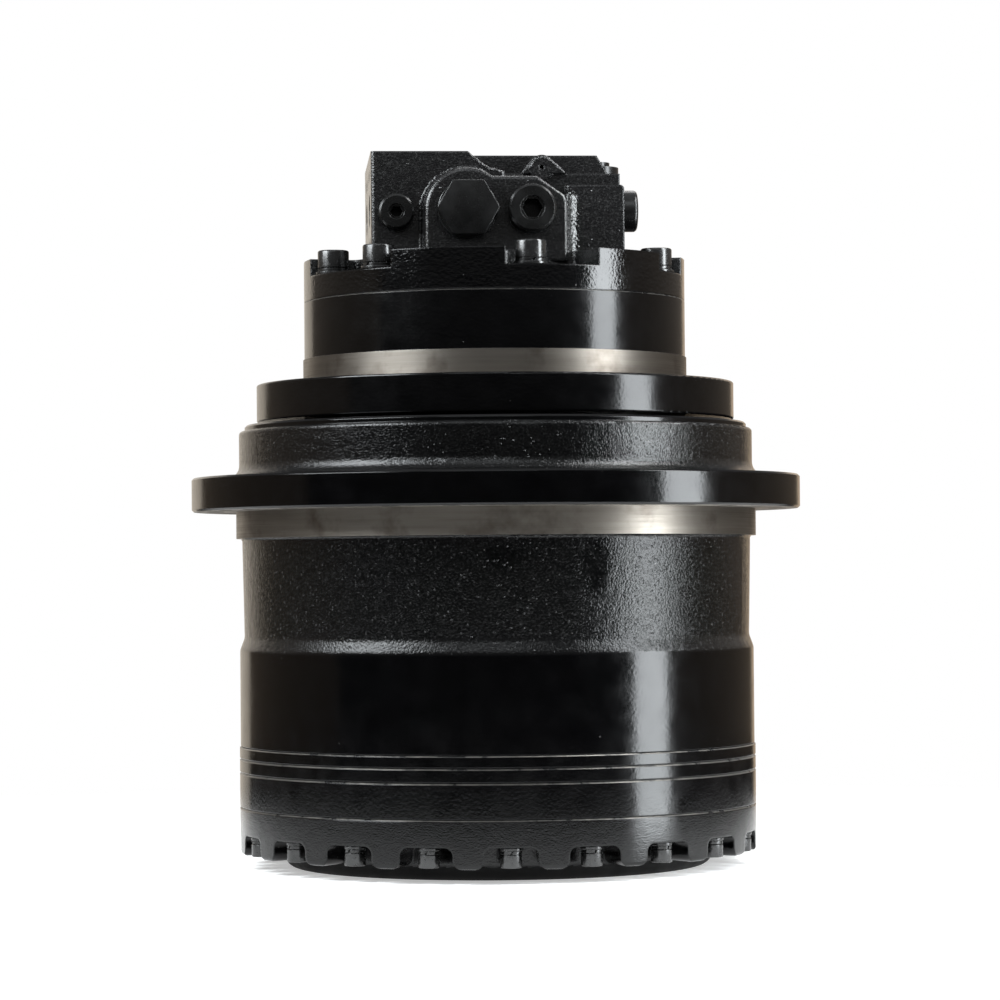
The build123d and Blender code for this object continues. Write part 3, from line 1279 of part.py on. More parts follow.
def build_all():
    """Every piece by its node name."""
    pieces = {
        "motor_case": motor_case(),
        "valve_cover": valve_cover(),
        "valve_cover_bolts": valve_cover_bolts(),
        "valve_cover_washers": valve_cover_washers(),
        "spool_end_plugs": spool_end_plugs(),
        "socket_plugs": socket_plugs(),
        "speed_valve_plug": speed_valve_plug(),
        "counterbalance_spool": counterbalance_spool(),
        "spool_springs": spool_springs(),
        "valve_plate": valve_plate(),
        "swash_plate": swash_plate(),
        "swash_pivots": swash_pivots(),
        "speed_piston": speed_piston(),
        "brake_separator_plates": brake_separator_plates(),
        "brake_friction_discs": brake_friction_discs(),
        "brake_piston": brake_piston(),
        "brake_spring": brake_spring(),
        "shaft_seal": shaft_seal(),
        "front_bearing_outer": front_bearing_outer(),
        "front_bearing_inner": front_bearing_inner(),
        "rear_bearing": rear_bearing(),
        "motor_shaft": motor_shaft(),
        "cylinder_block": cylinder_block(),
        "pistons": pistons(),
        "piston_shoes": piston_shoes(),
        "retainer_plate": retainer_plate(),
        "upper_bearing_inner": bearing_inner(z_bearing_mid),
        "lower_bearing_inner": bearing_inner(z_bearing),
        "upper_bearing_outer": bearing_outer(z_bearing_mid),
        "lower_bearing_outer": bearing_outer(z_bearing),
        "upper_bearing_balls": bearing_balls(z_bearing_mid),
        "lower_bearing_balls": bearing_balls(z_bearing),
        "bearing_nut": bearing_nut(),
        "fixed_seal_ring": seal_ring(1),
        "fixed_seal_toric": seal_toric(1),
        "turning_seal_ring": seal_ring(-1),
        "turning_seal_toric": seal_toric(-1),
        "hub_housing": hub_housing(),
        "ring_gear": ring_gear(),
        "ring_gear_dowels": ring_gear_dowels(),
        "end_cover": end_cover(),
        "cover_bolts": cover_bolts(),
        "cover_washers": cover_washers(),
        "oil_plugs": oil_plugs(),
        "thrust_pad": thrust_pad(),
        "stage_1_carrier": stage_1_carrier(),
        "stage_1_pins": stage_1_pins(),
        "stage_2_carrier": stage_2_carrier(),
        "stage_2_pins": stage_2_pins(),
        "sun_gear_1": sun_gear_1(),
        "sun_gear_2": sun_gear_2(),
    }
    pieces["stage_1_needles"] = needle_sets(
        PIN_1_D, NEEDLE_1_D, NEEDLES_1, z_planet_1, PLANET_1_FACE, arm_1, PLANETS_1)
    pieces["stage_2_needles"] = needle_sets(
        PIN_2_D, NEEDLE_2_D, NEEDLES_2, z_planet_2, PLANET_2_FACE, arm_2, PLANETS_2)
    for letter, angle in zip("abc", spread(PLANETS_1)):
        pieces["stage_1_planet_" + letter] = planet(
            planet_1_teeth, z_planet_1, PLANET_1_FACE, race_1_r, arm_1, angle)
    for letter, angle in zip("abcd", spread(PLANETS_2)):
        pieces["stage_2_planet_" + letter] = planet(
            planet_2_teeth, z_planet_2, PLANET_2_FACE, race_2_r, arm_2, angle)
    return pieces


os.makedirs("parts", exist_ok=True)
for name, piece in build_all().items():
    solid = Compound(children=piece) if isinstance(piece, list) else piece
    export_step(solid, "parts/" + name + ".step")
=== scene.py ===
"""Looks of the excavator final drive: paint, bare steel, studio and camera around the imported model."""
import math
import random

import bpy
from mathutils import Euler, Matrix, Vector


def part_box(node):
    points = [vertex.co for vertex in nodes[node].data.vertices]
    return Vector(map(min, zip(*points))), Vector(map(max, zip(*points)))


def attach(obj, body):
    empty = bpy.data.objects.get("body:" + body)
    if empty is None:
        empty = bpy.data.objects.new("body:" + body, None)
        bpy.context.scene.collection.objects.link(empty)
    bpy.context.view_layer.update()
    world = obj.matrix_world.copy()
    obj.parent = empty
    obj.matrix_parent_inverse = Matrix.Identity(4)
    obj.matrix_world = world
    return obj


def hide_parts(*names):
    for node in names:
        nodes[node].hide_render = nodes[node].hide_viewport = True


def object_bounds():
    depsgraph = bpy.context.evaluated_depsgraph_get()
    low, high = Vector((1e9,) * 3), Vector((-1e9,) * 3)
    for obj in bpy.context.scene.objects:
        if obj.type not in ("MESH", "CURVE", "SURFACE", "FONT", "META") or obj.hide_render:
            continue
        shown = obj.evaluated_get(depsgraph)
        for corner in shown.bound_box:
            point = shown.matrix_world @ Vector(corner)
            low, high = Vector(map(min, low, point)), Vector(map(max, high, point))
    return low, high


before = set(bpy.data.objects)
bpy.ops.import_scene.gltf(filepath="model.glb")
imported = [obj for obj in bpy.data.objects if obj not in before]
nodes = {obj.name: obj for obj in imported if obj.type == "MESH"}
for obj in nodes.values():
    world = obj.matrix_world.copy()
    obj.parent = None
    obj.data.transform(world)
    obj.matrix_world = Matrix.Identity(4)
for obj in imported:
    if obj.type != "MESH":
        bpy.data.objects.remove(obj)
cad_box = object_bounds()

# Camera, as the photograph was taken: metres and degrees, lens and sensor in millimetres.
CAMERA_DISTANCE = 2.82
CAMERA_AZIMUTH = -3.7
CAMERA_HEIGHT = 0.227
CAMERA_PITCH = 1.16
CAMERA_TURN = 0.066
CAMERA_ROLL = -0.45
CAMERA_LENS = 129.6
CAMERA_SENSOR = 36.0

# Floor: a pale disc that fades out before its rim, in metres.
FLOOR_RADIUS = 2.2
FLOOR_POINTS = 96
FLOOR_FADE = (0.45, 1.05)
FLOOR_COLOUR = (0.86, 0.86, 0.85, 1.0)
FLOOR_CLOUD = (0.83, 0.83, 0.83, 1.0)
FLOOR_ROUGHNESS = 0.9
FLOOR_GLOW = 0.42

# Light of the room in reflections: dim at the horizon, brighter above it; tints of the studio lights.
ROOM_LOW = 0.013
ROOM_HIGH = 0.20
ROOM_RISE = (0.03, 0.16)
WHITE = (1.0, 1.0, 1.0)
WARM = (1.0, 0.78, 0.56)
PALE = (1.0, 0.90, 0.76)
COOL = (0.92, 0.97, 1.0)

# Heights on the axis that the studio lights face, and the place of the walls behind the part, in metres.
LIGHT_AIM = 0.3
STRIP_AIM = 0.62
WALL_AIM = 0.5
WALL_Y = 2.4
WALL_Z = 0.7

# Heights taken from the solids.
HUB_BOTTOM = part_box("hub_housing")[0].z
CASE_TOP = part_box("motor_case")[1].z
BLOCK_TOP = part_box("valve_cover")[1].z
COVER_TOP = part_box("end_cover")[1].z

# Heights where one finish ends and the next begins, in metres.
FLARE_BOTTOM = 0.1685
PILOT_BOTTOM = 0.255
PILOT_TOP = 0.276
FLANGE_TOP = 0.302
HUB_RING_TOP = 0.3380
FRAME_PILOT_BOTTOM = 0.3745
FRAME_PILOT_TOP = 0.394
VALVE_FLANGE_TOP = 0.4705
COVER_LUG_BOTTOM = 0.011
SEAM_H = 0.001
SKIN = 0.0004

# Distances from the axis that a finish starts or ends at, and the hollow's place on the block, in metres.
SPROCKET_PILOT_R = 0.203
HUB_WALL_R = 0.19
HUB_SEAM_R = 0.199
CASE_SEAM_R = 0.147
FRAME_PILOT_REACH = 0.1485
POCKET_REACH = 0.148
COVE_X = (0.0505, 0.0615)
COVE_Y = (-0.0795, -0.0695)

# Upward part of a face's normal: below the first it is upright, between the others it is a chamfer.
UPRIGHT = 0.5
SLANT = (0.3, 0.95)

# Cover screws hang in the notches, valve cover screws stand in the rim pockets; metres and degrees.
COVER_SCREWS = 20
COVER_SCREW_CLOCK = 269.0
COVER_SCREW_CIRCLE_R = 0.19275
COVER_SCREW_D = 0.010
COVER_HEAD_D = 0.016
COVER_HEAD_H = 0.010
COVER_SOCKET = 0.008
COVER_FLAT_D = 0.0168
COVER_LOCK_D = 0.0156
COVER_WASHER_T = 0.0025
COVER_SEAT = 0.027
COVER_SCREW_END = 0.1137
VALVE_SCREW_ANGLES = (-70.0, -44.0, 8.0, 64.0)
VALVE_SCREW_CIRCLE_R = 0.135
VALVE_SCREW_D = 0.016
VALVE_HEAD_D = 0.024
VALVE_HEAD_H = 0.014
VALVE_SOCKET = 0.012
VALVE_FLAT_D = 0.027
VALVE_LOCK_D = 0.024
VALVE_WASHER_T = 0.0024
VALVE_SEAT = 0.457
VALVE_SCREW_END = 0.4045
WASHER_PLAY = 0.0001
FRONT = 270.0

# Shares of a screw's head, socket or thickness, steps round an edge, and the slit of a lock washer.
HEAD_EDGE = 0.11
SOCKET_MOUTH = 0.62
SOCKET_CHAMFER = 0.12
SOCKET_DEPTH = 0.5
BROKEN_EDGE = 0.2
EDGE_STEPS = 4
LOCK_STEPS = 60
LOCK_GAP = 9.0
LOCK_TILT = 6.0
LOCK_RISE = 0.08

# Hexagon plugs at both ends of the spool bore, in metres.
PLUG_X = -0.0265
PLUG_Z = 0.502
PLUG_FACE_Y = -0.104
PLUG_FLATS = 0.041
PLUG_HEX_H = 0.015
PLUG_COLLAR_D = 0.045
PLUG_COLLAR_T = 0.003
PLUG_SEAT_D = 0.0319
PLUG_SEAT_L = 0.020
PLUG_TRIM = 0.985

# Points of a turned or six-sided ring, the angle from corner to corner of a hexagon, and the angle in
# degrees past which an edge looks sharp.
RING_POINTS = 96
HEXAGON_TURN = math.pi / 3.0
SHARP_ANGLE = 28.0

# Smooth dark smears on the barrel: azimuth in degrees from the front towards +X, height, width and length.
SMEARS = ((18.0, 0.232, 0.013, 0.026), (50.0, 0.243, 0.007, 0.012), (-2.0, 0.238, 0.018, 0.011))
SMEAR_RIM = (0.9, 1.5)
SMEAR_GRAIN = 0.35
BARREL_R = 0.198

# Cast ridges on the valve block, in the plane of the front face they stand on: metres and degrees.
LEDGE_Z = BLOCK_TOP - 0.0155
TOWER_FACE_Y = -0.078
RAMP_TOP_X = -0.024
RAMP_BEND_X = -0.016
RAMP_LOW_X = -0.009
RAMP_END_X = 0.003
EAR_X = 0.0335
EAR_R = 0.0095
EAR_FACE_Y = -0.060
EAR_FEET = (-0.015, 0.019)
EAR_TURN = (135.0, 45.0)
BOSS_FOOT_R = 0.0345
BOSS_FOOT_TURN = (180.0, 62.0)
ARC_STEPS = 24
BEND_STEPS = 12
RIDGE_R = 0.0014
RIDGE_STEP = 0.0009
RIDGE_POINTS = 10
RIDGE_WANDER = 0.00035
RIDGE_RUN_OUT = 6
RIDGE_SEED = 4

# Colours of the finishes, as linear red, green and blue with alpha.
GLOSS_DARK = (0.0005, 0.0005, 0.0006, 1.0)
GLOSS_LIGHT = (0.0014, 0.0014, 0.0016, 1.0)
GLOSS_DUST = (0.06, 0.057, 0.053, 1.0)
CAST_DARK = (0.0012, 0.0012, 0.0014, 1.0)
CAST_LIGHT = (0.0026, 0.0026, 0.0026, 1.0)
CAST_GRIT = (0.009, 0.009, 0.009, 1.0)
# Painted glints: light specks in the cast paint's colour that stand in for highlights on the grain.
CAST_PAINTED_GLINT = (0.07, 0.068, 0.064, 1.0)
SEAM_PAINT = (0.02, 0.02, 0.02, 1.0)
SEAM_METAL = (0.20, 0.19, 0.175, 1.0)
STEEL_DARK = (0.130, 0.116, 0.100, 1.0)
STEEL_LIGHT = (0.225, 0.207, 0.184, 1.0)
STEEL_STAIN = (0.062, 0.048, 0.038, 1.0)
SCREW_DARK = (0.003, 0.003, 0.003, 1.0)
SCREW_LIGHT = (0.009, 0.009, 0.009, 1.0)
SCREW_DUST = (0.08, 0.075, 0.07, 1.0)
RUBBER_DARK = (0.010, 0.010, 0.010, 1.0)
RUBBER_LIGHT = (0.022, 0.021, 0.020, 1.0)

# Features of cast paint as multiples of the grain's waves, and the relief of the lower ones as a share.
LUMP_WAVES = 0.2
PIMPLE_WAVES = 0.6
PAINTED_GLINT_WAVES = 0.40
GRIT_WAVES = 0.8
LOW_RELIEF = 0.8

# The share of a speck that is full, the step between cells with and without one, the part of a noise
# value's range that is used, and the colour sockets of a mix node.
SPECK_CORE = 0.5
SPECK_STEP = 0.01
NOISE_RANGE = (0.3, 0.7)
MIX_FACTOR = 0
MIX_FIRST = 6
MIX_SECOND = 7
MIX_RESULT = 2


def feed(tree, node, inputs):
    """Sets a node's sockets to values, or links other nodes' outputs to them."""
    for name, value in inputs.items():
        if isinstance(value, bpy.types.NodeSocket):
            tree.links.new(value, node.inputs[name])
        else:
            node.inputs[name].default_value = value


def add(tree, kind, inputs=None, **settings):
    """One shader node with its settings and its inputs."""
    node = tree.nodes.new(kind)
    for name, value in settings.items():
        setattr(node, name, value)
    feed(tree, node, inputs or {})
    return node


def noise(tree, place, waves, detail=2.0, roughness=0.5):
    """A noise value from 0 to 1; waves are per metre."""
    inputs = {"Vector": place, "Scale": waves, "Detail": detail, "Roughness": roughness}
    return add(tree, "ShaderNodeTexNoise", inputs).outputs["Fac"]


def stretched(tree, place, scale):
    """Object coordinates stretched by a scale on each axis."""
    return add(tree, "ShaderNodeMapping", {"Vector": place, "Scale": scale}).outputs["Vector"]


def remap(tree, value, start, end, low, high):
    """The value's range start to end, clamped, turned into low to high."""
    inputs = {"Value": value, "From Min": start, "From Max": end, "To Min": low, "To Max": high}
    return add(tree, "ShaderNodeMapRange", inputs).outputs["Result"]


def spread(tree, cloud, low, high):
    """The usual range of a noise value, turned into low to high."""
    return remap(tree, cloud, *NOISE_RANGE, low, high)


def mask(tree, value, start, end):
    """0 where the value is below start, 1 where it is above end."""
    return remap(tree, value, start, end, 0.0, 1.0)


def blend(tree, factor, first, second):
    """A colour between two colours."""
    inputs = {MIX_FACTOR: factor, MIX_FIRST: first, MIX_SECOND: second}
    return add(tree, "ShaderNodeMix", inputs, data_type="RGBA").outputs[MIX_RESULT]


def combined(tree, operation, first, second):
    """Two values put together by a sum, a product or the like."""
    return add(tree, "ShaderNodeMath", {0: first, 1: second}, operation=operation).outputs["Value"]


def length(tree, place):
    """The length of a vector."""
    return add(tree, "ShaderNodeVectorMath", {0: place}, operation="LENGTH").outputs["Value"]


def bump(tree, height, depth, normal=None):
    """A surface normal roughened by a height value; depth is in metres."""
    inputs = {"Height": height, "Distance": depth}
    if normal is not None:
        inputs["Normal"] = normal
    return add(tree, "ShaderNodeBump", inputs).outputs["Normal"]


def rounded_edges(tree, radius):
    """A normal that rounds sharp corners off, so that they catch the light."""
    return add(tree, "ShaderNodeBevel", {"Radius": radius}, samples=4).outputs["Normal"]


def specks(tree, place, waves, share, size):
    """Small dots, 1 inside and 0 outside: a share of the cells carry one."""
    cells = add(tree, "ShaderNodeTexVoronoi", {"Vector": place, "Scale": waves})
    dot = remap(tree, cells.outputs["Distance"], size * SPECK_CORE, size, low=1.0, high=0.0)
    pick = add(tree, "ShaderNodeSeparateColor", {"Color": cells.outputs["Color"]}).outputs["Red"]
    chosen = mask(tree, pick, start=1.0 - share, end=1.0 - share + SPECK_STEP)
    return combined(tree, "MULTIPLY", dot, chosen)


def toned(colour, tone):
    """A colour made lighter or darker; its alpha stays."""
    red, green, blue, alpha = colour
    return red * tone, green * tone, blue * tone, alpha


def new_material(name):
    """A new material, its node tree, its shader and the object's own coordinates."""
    made = bpy.data.materials.new(name)
    made.use_nodes = True
    tree = made.node_tree
    place = add(tree, "ShaderNodeTexCoord").outputs["Object"]
    return made, tree, tree.nodes["Principled BSDF"], place


def machined_paint(name, shine, edge, gloss, peel):
    """Gloss black paint on turned faces: slow waves, a few dust specks and orange peel.

    Shine is the specular level, edge the radius of the corners, gloss a roughness and peel the depth of
    the orange peel, in metres.
    """
    made, tree, shader, place = new_material(name)
    dust = specks(tree, place, waves=95.0, share=0.10, size=0.05)
    black = blend(tree, noise(tree, place, waves=30.0), GLOSS_DARK, GLOSS_LIGHT)
    dullness = noise(tree, place, waves=60.0, detail=3.0)
    swell = noise(tree, place, waves=45.0, detail=1.0)
    normal = bump(tree, swell, depth=0.00010, normal=rounded_edges(tree, edge))
    normal = bump(tree, noise(tree, place, waves=420.0), depth=peel, normal=normal)
    normal = bump(tree, dust, depth=0.00012, normal=normal)
    feed(tree, shader, {
        "Base Color": blend(tree, dust, black, GLOSS_DUST),
        "Roughness": spread(tree, dullness, low=gloss, high=gloss + 0.07),
        "Specular IOR Level": shine,
        "Normal": normal,
    })
    return made


def smears(tree, place):
    """Patches on the barrel where thick paint fills the grain, 1 inside and 0 outside, with ragged rims."""
    ragged = noise(tree, place, waves=240.0, detail=3.0)
    share = 0.0
    for azimuth, height, width, tall in SMEARS:
        spot = around(azimuth, BARREL_R, height)
        away = add(tree, "ShaderNodeVectorMath", {0: place, 1: spot}, operation="SUBTRACT").outputs["Vector"]
        reach = length(tree, stretched(tree, away, (1.0 / width, 1.0 / width, 1.0 / tall)))
        patch = remap(tree, combined(tree, "ADD", reach, ragged), *SMEAR_RIM, 1.0, 0.0)
        share = combined(tree, "MAXIMUM", share, patch)
    return share


def cast_paint(name, grain, depth, gloss, shine, edge, pimpled, tone=1.0, smeared=False):
    """Gloss black paint over a sand casting, with painted glints: light specks in its colour that stand in
    for highlights on the grain.

    Grain is in waves per metre, depth in metres, gloss a roughness, shine the specular level, edge the
    radius of the cast corners in metres, pimpled the share of the surface's cells that carry a pimple and
    tone the paint's greyness.
    """
    made, tree, shader, place = new_material(name)
    rough = noise(tree, place, waves=grain)
    lumps = noise(tree, place, waves=grain * LUMP_WAVES)
    pimples = specks(tree, place, waves=grain * PIMPLE_WAVES, share=pimpled, size=0.36)
    # Painted glints: a few cells made lighter in the base colour, standing in for highlights on the grain.
    painted_glints = specks(tree, place, waves=grain * PAINTED_GLINT_WAVES, share=0.05, size=0.18)
    grit = mask(tree, noise(tree, place, waves=grain * GRIT_WAVES, detail=1.0), start=0.54, end=0.68)
    paint = blend(tree, lumps, toned(CAST_DARK, tone), toned(CAST_LIGHT, tone))
    black = blend(tree, grit, paint, toned(CAST_GRIT, tone))
    if smeared:
        kept = remap(tree, smears(tree, place), 0.0, 1.0, low=1.0, high=SMEAR_GRAIN)
        rough = combined(tree, "MULTIPLY", rough, kept)
    normal = bump(tree, lumps, depth * LOW_RELIEF, normal=rounded_edges(tree, edge))
    normal = bump(tree, rough, depth, normal=normal)
    normal = bump(tree, pimples, depth * LOW_RELIEF, normal=normal)
    feed(tree, shader, {
        "Base Color": blend(tree, painted_glints, black, CAST_PAINTED_GLINT),
        "Roughness": spread(tree, lumps, low=gloss - 0.02, high=gloss + 0.04),
        "Specular IOR Level": shine,
        "Normal": normal,
    })
    return made


def worn_edge():
    """Seam and groove edges where the paint has rubbed through to bright metal in places."""
    made, tree, shader, place = new_material("worn_paint_edge")
    rubbed = mask(tree, noise(tree, place, waves=55.0, detail=4.0, roughness=0.6), start=0.38, end=0.56)
    feed(tree, shader, {
        "Base Color": blend(tree, rubbed, SEAM_PAINT, SEAM_METAL),
        "Metallic": rubbed,
        "Roughness": remap(tree, rubbed, 0.0, 1.0, low=0.25, high=0.45),
        "Normal": bump(tree, noise(tree, place, waves=900.0, detail=3.0), depth=0.00010),
    })
    return made


def satin_black(name, dark, light, roughness, shine):
    """Dull paint, a little cloudy; dark and light are its two greys."""
    made, tree, shader, place = new_material(name)
    cloud = noise(tree, place, waves=70.0, detail=4.0)
    grain = noise(tree, place, waves=500.0, detail=3.0)
    feed(tree, shader, {
        "Base Color": blend(tree, cloud, (dark, dark, dark, 1.0), (light, light, light, 1.0)),
        "Roughness": spread(tree, cloud, low=roughness - 0.08, high=roughness + 0.10),
        "Specular IOR Level": shine,
        "Normal": bump(tree, grain, depth=0.00008, normal=rounded_edges(tree, radius=0.0007)),
    })
    return made


def bare_steel():
    """Turned steel left bare: circumferential tool lines, stains and warm grey streaks."""
    made, tree, shader, place = new_material("bare_turned_steel")
    lines = noise(tree, stretched(tree, place, (6.0, 6.0, 2600.0)), waves=1.0)
    streaks = noise(tree, stretched(tree, place, (14.0, 14.0, 260.0)), waves=1.0, detail=3.0)
    stains = noise(tree, place, waves=26.0, detail=4.0, roughness=0.6)
    grey = blend(tree, streaks, STEEL_DARK, STEEL_LIGHT)
    stained = remap(tree, stains, 0.52, 0.72, low=0.0, high=0.75)
    feed(tree, shader, {
        "Base Color": blend(tree, stained, grey, STEEL_STAIN),
        "Metallic": 1.0,
        "Roughness": spread(tree, lines, low=0.38, high=0.56),
        "Anisotropic": 0.7,
        "Anisotropic Rotation": 0.25,
        "Tangent": add(tree, "ShaderNodeTangent", axis="Z").outputs["Tangent"],
        "Normal": bump(tree, lines, depth=0.00006, normal=rounded_edges(tree, radius=0.0006)),
    })
    return made


def fastener_black():
    """Painted screws: gloss black, a little uneven, dusty in places."""
    made, tree, shader, place = new_material("fastener_black")
    dust = specks(tree, place, waves=420.0, share=0.12, size=0.12)
    black = blend(tree, noise(tree, place, waves=180.0), SCREW_DARK, SCREW_LIGHT)
    grain = noise(tree, place, waves=700.0, detail=3.0)
    feed(tree, shader, {
        "Base Color": blend(tree, dust, black, SCREW_DUST),
        "Roughness": spread(tree, noise(tree, place, waves=300.0), low=0.16, high=0.30),
        "Specular IOR Level": 0.75,
        "Normal": bump(tree, grain, depth=0.00005, normal=rounded_edges(tree, radius=0.0005)),
    })
    return made


def metal(name, dark, light, roughness):
    """A plain machined metal for the pieces inside."""
    made, tree, shader, place = new_material(name)
    cloud = noise(tree, place, waves=90.0, detail=4.0)
    feed(tree, shader, {
        "Base Color": blend(tree, cloud, dark, light),
        "Metallic": 1.0,
        "Roughness": spread(tree, cloud, low=roughness - 0.06, high=roughness + 0.08),
        "Normal": bump(tree, noise(tree, place, waves=900.0), depth=0.00002),
    })
    return made


def rubber():
    """Dark seal rubber."""
    made, tree, shader, place = new_material("nitrile_rubber")
    cloud = noise(tree, place, waves=120.0, detail=3.0)
    feed(tree, shader, {
        "Base Color": blend(tree, cloud, RUBBER_DARK, RUBBER_LIGHT),
        "Roughness": spread(tree, cloud, low=0.55, high=0.75),
        "Normal": bump(tree, noise(tree, place, waves=1500.0), depth=0.00003),
    })
    return made


def around(azimuth, distance, height):
    """A place at an angle round the axis, in degrees from the front towards +X."""
    turn = math.radians(azimuth)
    return Vector((distance * math.sin(turn), -distance * math.cos(turn), height))


MACHINED = machined_paint("gloss_black_machined", shine=0.30, edge=0.0008, gloss=0.12, peel=0.00006)
RIM = machined_paint("gloss_black_rim", shine=0.42, edge=0.0016, gloss=0.08, peel=0.00020)
BARREL = cast_paint("gloss_black_barrel", grain=700.0, depth=0.00044, gloss=0.13, shine=0.30, edge=0.0015,
                    pimpled=0.14, smeared=True)
HUB_RING = cast_paint("gloss_black_hub_ring", grain=760.0, depth=0.00040, gloss=0.12, shine=0.36, edge=0.0015,
                      pimpled=0.14)
BLOCK = cast_paint("gloss_black_block", grain=780.0, depth=0.00028, gloss=0.20, shine=0.80, edge=0.0022,
                   pimpled=0.03, tone=2.4)
COVE = cast_paint("gloss_black_rough_cove", grain=520.0, depth=0.00085, gloss=0.12, shine=1.00, edge=0.0022,
                  pimpled=0.25, tone=2.0)
COVER = cast_paint("gloss_black_end_cover", grain=800.0, depth=0.00007, gloss=0.15, shine=0.33, edge=0.0022,
                   pimpled=0.05, tone=0.6)
WORN = worn_edge()
SATIN = satin_black("satin_black_boss", dark=0.0018, light=0.0042, roughness=0.65, shine=0.18)
PLUG = satin_black("satin_black_plug", dark=0.0026, light=0.0042, roughness=0.28, shine=0.50)
STEEL = bare_steel()
FASTENER = fastener_black()
GEAR = metal("ground_gear_steel", (0.42, 0.42, 0.43, 1.0), (0.55, 0.55, 0.56, 1.0), roughness=0.30)
BEARING = metal("polished_bearing_steel", (0.55, 0.55, 0.56, 1.0), (0.66, 0.66, 0.67, 1.0), roughness=0.18)
SEAL_IRON = metal("dark_seal_iron", (0.020, 0.019, 0.018, 1.0), (0.035, 0.034, 0.032, 1.0), roughness=0.55)
BRONZE = metal("bearing_bronze", (0.42, 0.27, 0.11, 1.0), (0.55, 0.37, 0.16, 1.0), roughness=0.34)
RUBBER = rubber()
SLOT_FINISH = {
    "gloss_black_casting": MACHINED,
    "gloss_black_steel": MACHINED,
    "black_fastener": FASTENER,
    "gear_steel": GEAR,
    "bearing_steel": BEARING,
    "seal_rubber": RUBBER,
    "bearing_bronze": BRONZE,
}


def anywhere(spot, reach, normal):
    """The test that every face passes."""
    return True


def band(bottom, top, inside=0.0):
    """A test for faces between two heights and outside a radius."""
    def test(spot, reach, normal):
        return bottom < spot.z < top and reach > inside
    return test


def slanted(bottom, top, inside):
    """A test for the chamfers between two heights that look up and out."""
    def test(spot, reach, normal):
        return bottom < spot.z < top and reach > inside and SLANT[0] < normal.z < SLANT[1]
    return test


def pocket_walls(spot, reach, normal):
    """The test for the upright cast walls of the pockets in the valve cover's rim."""
    return VALVE_SEAT < spot.z < VALVE_FLANGE_TOP and reach < POCKET_REACH and abs(normal.z) < UPRIGHT


def cove_faces(spot, reach, normal):
    """The test for the rough hollow between the front boss and the block's right shoulder."""
    inside = COVE_X[0] < spot.x < COVE_X[1] and COVE_Y[0] < spot.y < COVE_Y[1]
    return inside and abs(normal.z) < UPRIGHT and spot.z > VALVE_SEAT


def dress(node, *rules):
    """Gives each face of a node the first material whose test it passes; the last rule takes the rest."""
    mesh = nodes[node].data
    mesh.materials.clear()
    for material, _ in rules:
        mesh.materials.append(material)
    for face in mesh.polygons:
        spot = face.center
        reach = math.hypot(spot.x, spot.y)
        tests = (rule_test(spot, reach, face.normal) for _, rule_test in rules)
        face.material_index = next(index for index, passed in enumerate(tests) if passed)


def dress_by_slot():
    """Every node gets its slot's finish all over."""
    for name, piece in nodes.items():
        slot = piece.data.materials[0].name.split(".")[0]
        dress(name, (SLOT_FINISH[slot], anywhere))


def dress_hub():
    """Finishes of the turning castings, face by face."""
    dress(
        "hub_housing",
        (STEEL, band(PILOT_BOTTOM, PILOT_TOP, SPROCKET_PILOT_R - SKIN)),
        (BARREL, band(FLARE_BOTTOM, PILOT_BOTTOM, HUB_WALL_R)),
        (HUB_RING, band(FLANGE_TOP + SKIN, HUB_RING_TOP, HUB_WALL_R)),
        (MACHINED, anywhere),
    )
    dress(
        "ring_gear",
        (WORN, slanted(COVER_TOP - SKIN, HUB_BOTTOM + SKIN, HUB_SEAM_R)),
        (MACHINED, anywhere),
    )
    dress(
        "end_cover",
        (WORN, slanted(COVER_TOP - SEAM_H, COVER_TOP + SKIN, HUB_SEAM_R)),
        (SATIN, band(-SKIN, COVER_LUG_BOTTOM - SKIN)),
        (COVER, anywhere),
    )


def dress_spindle():
    """Finishes of the standing castings, face by face."""
    dress(
        "motor_case",
        (WORN, slanted(CASE_TOP - SEAM_H, CASE_TOP + SKIN, CASE_SEAM_R)),
        (STEEL, band(FRAME_PILOT_BOTTOM, FRAME_PILOT_TOP, FRAME_PILOT_REACH)),
        (MACHINED, anywhere),
    )
    dress(
        "valve_cover",
        (COVE, cove_faces),
        (BLOCK, pocket_walls),
        (BLOCK, band(VALVE_FLANGE_TOP, BLOCK_TOP + SKIN)),
        (RIM, anywhere),
    )


def dress_small_pieces():
    """Plugs and seal rings whose finish differs from their slot's."""
    for name in ("socket_plugs", "speed_valve_plug"):
        dress(name, (PLUG, anywhere))
    for name in ("fixed_seal_ring", "turning_seal_ring"):
        dress(name, (SEAL_IRON, anywhere))


def ring(level, reach, flats=None):
    """Points round the Z axis at a level; with a size across flats, a hexagon cut off at that reach."""
    points = []
    for step in range(RING_POINTS):
        turn = 2.0 * math.pi * step / RING_POINTS
        distance = reach
        if flats is not None:
            beside = (turn + HEXAGON_TURN / 2.0) % HEXAGON_TURN - HEXAGON_TURN / 2.0
            distance = min(reach, flats / 2.0 / math.cos(HEXAGON_TURN / 2.0 - abs(beside)))
        points.append((distance * math.cos(turn), distance * math.sin(turn), level))
    return points


def skinned(rings):
    """Vertices and faces of a closed piece through a stack of rings."""
    points = [point for row in rings for point in row]
    faces = [list(reversed(range(RING_POINTS)))]
    for row in range(len(rings) - 1):
        for step in range(RING_POINTS):
            near = row * RING_POINTS + step
            beside = row * RING_POINTS + (step + 1) % RING_POINTS
            faces.append([near, beside, beside + RING_POINTS, near + RING_POINTS])
    faces.append(list(range(len(points) - RING_POINTS, len(points))))
    return points, faces


def rounding(edge):
    """Steps round an edge, from its side to its top: the rise and the inset of each."""
    turns = [math.pi / 2.0 * step / EDGE_STEPS for step in range(EDGE_STEPS + 1)]
    return [(edge * math.sin(turn), edge * (1.0 - math.cos(turn))) for turn in turns]


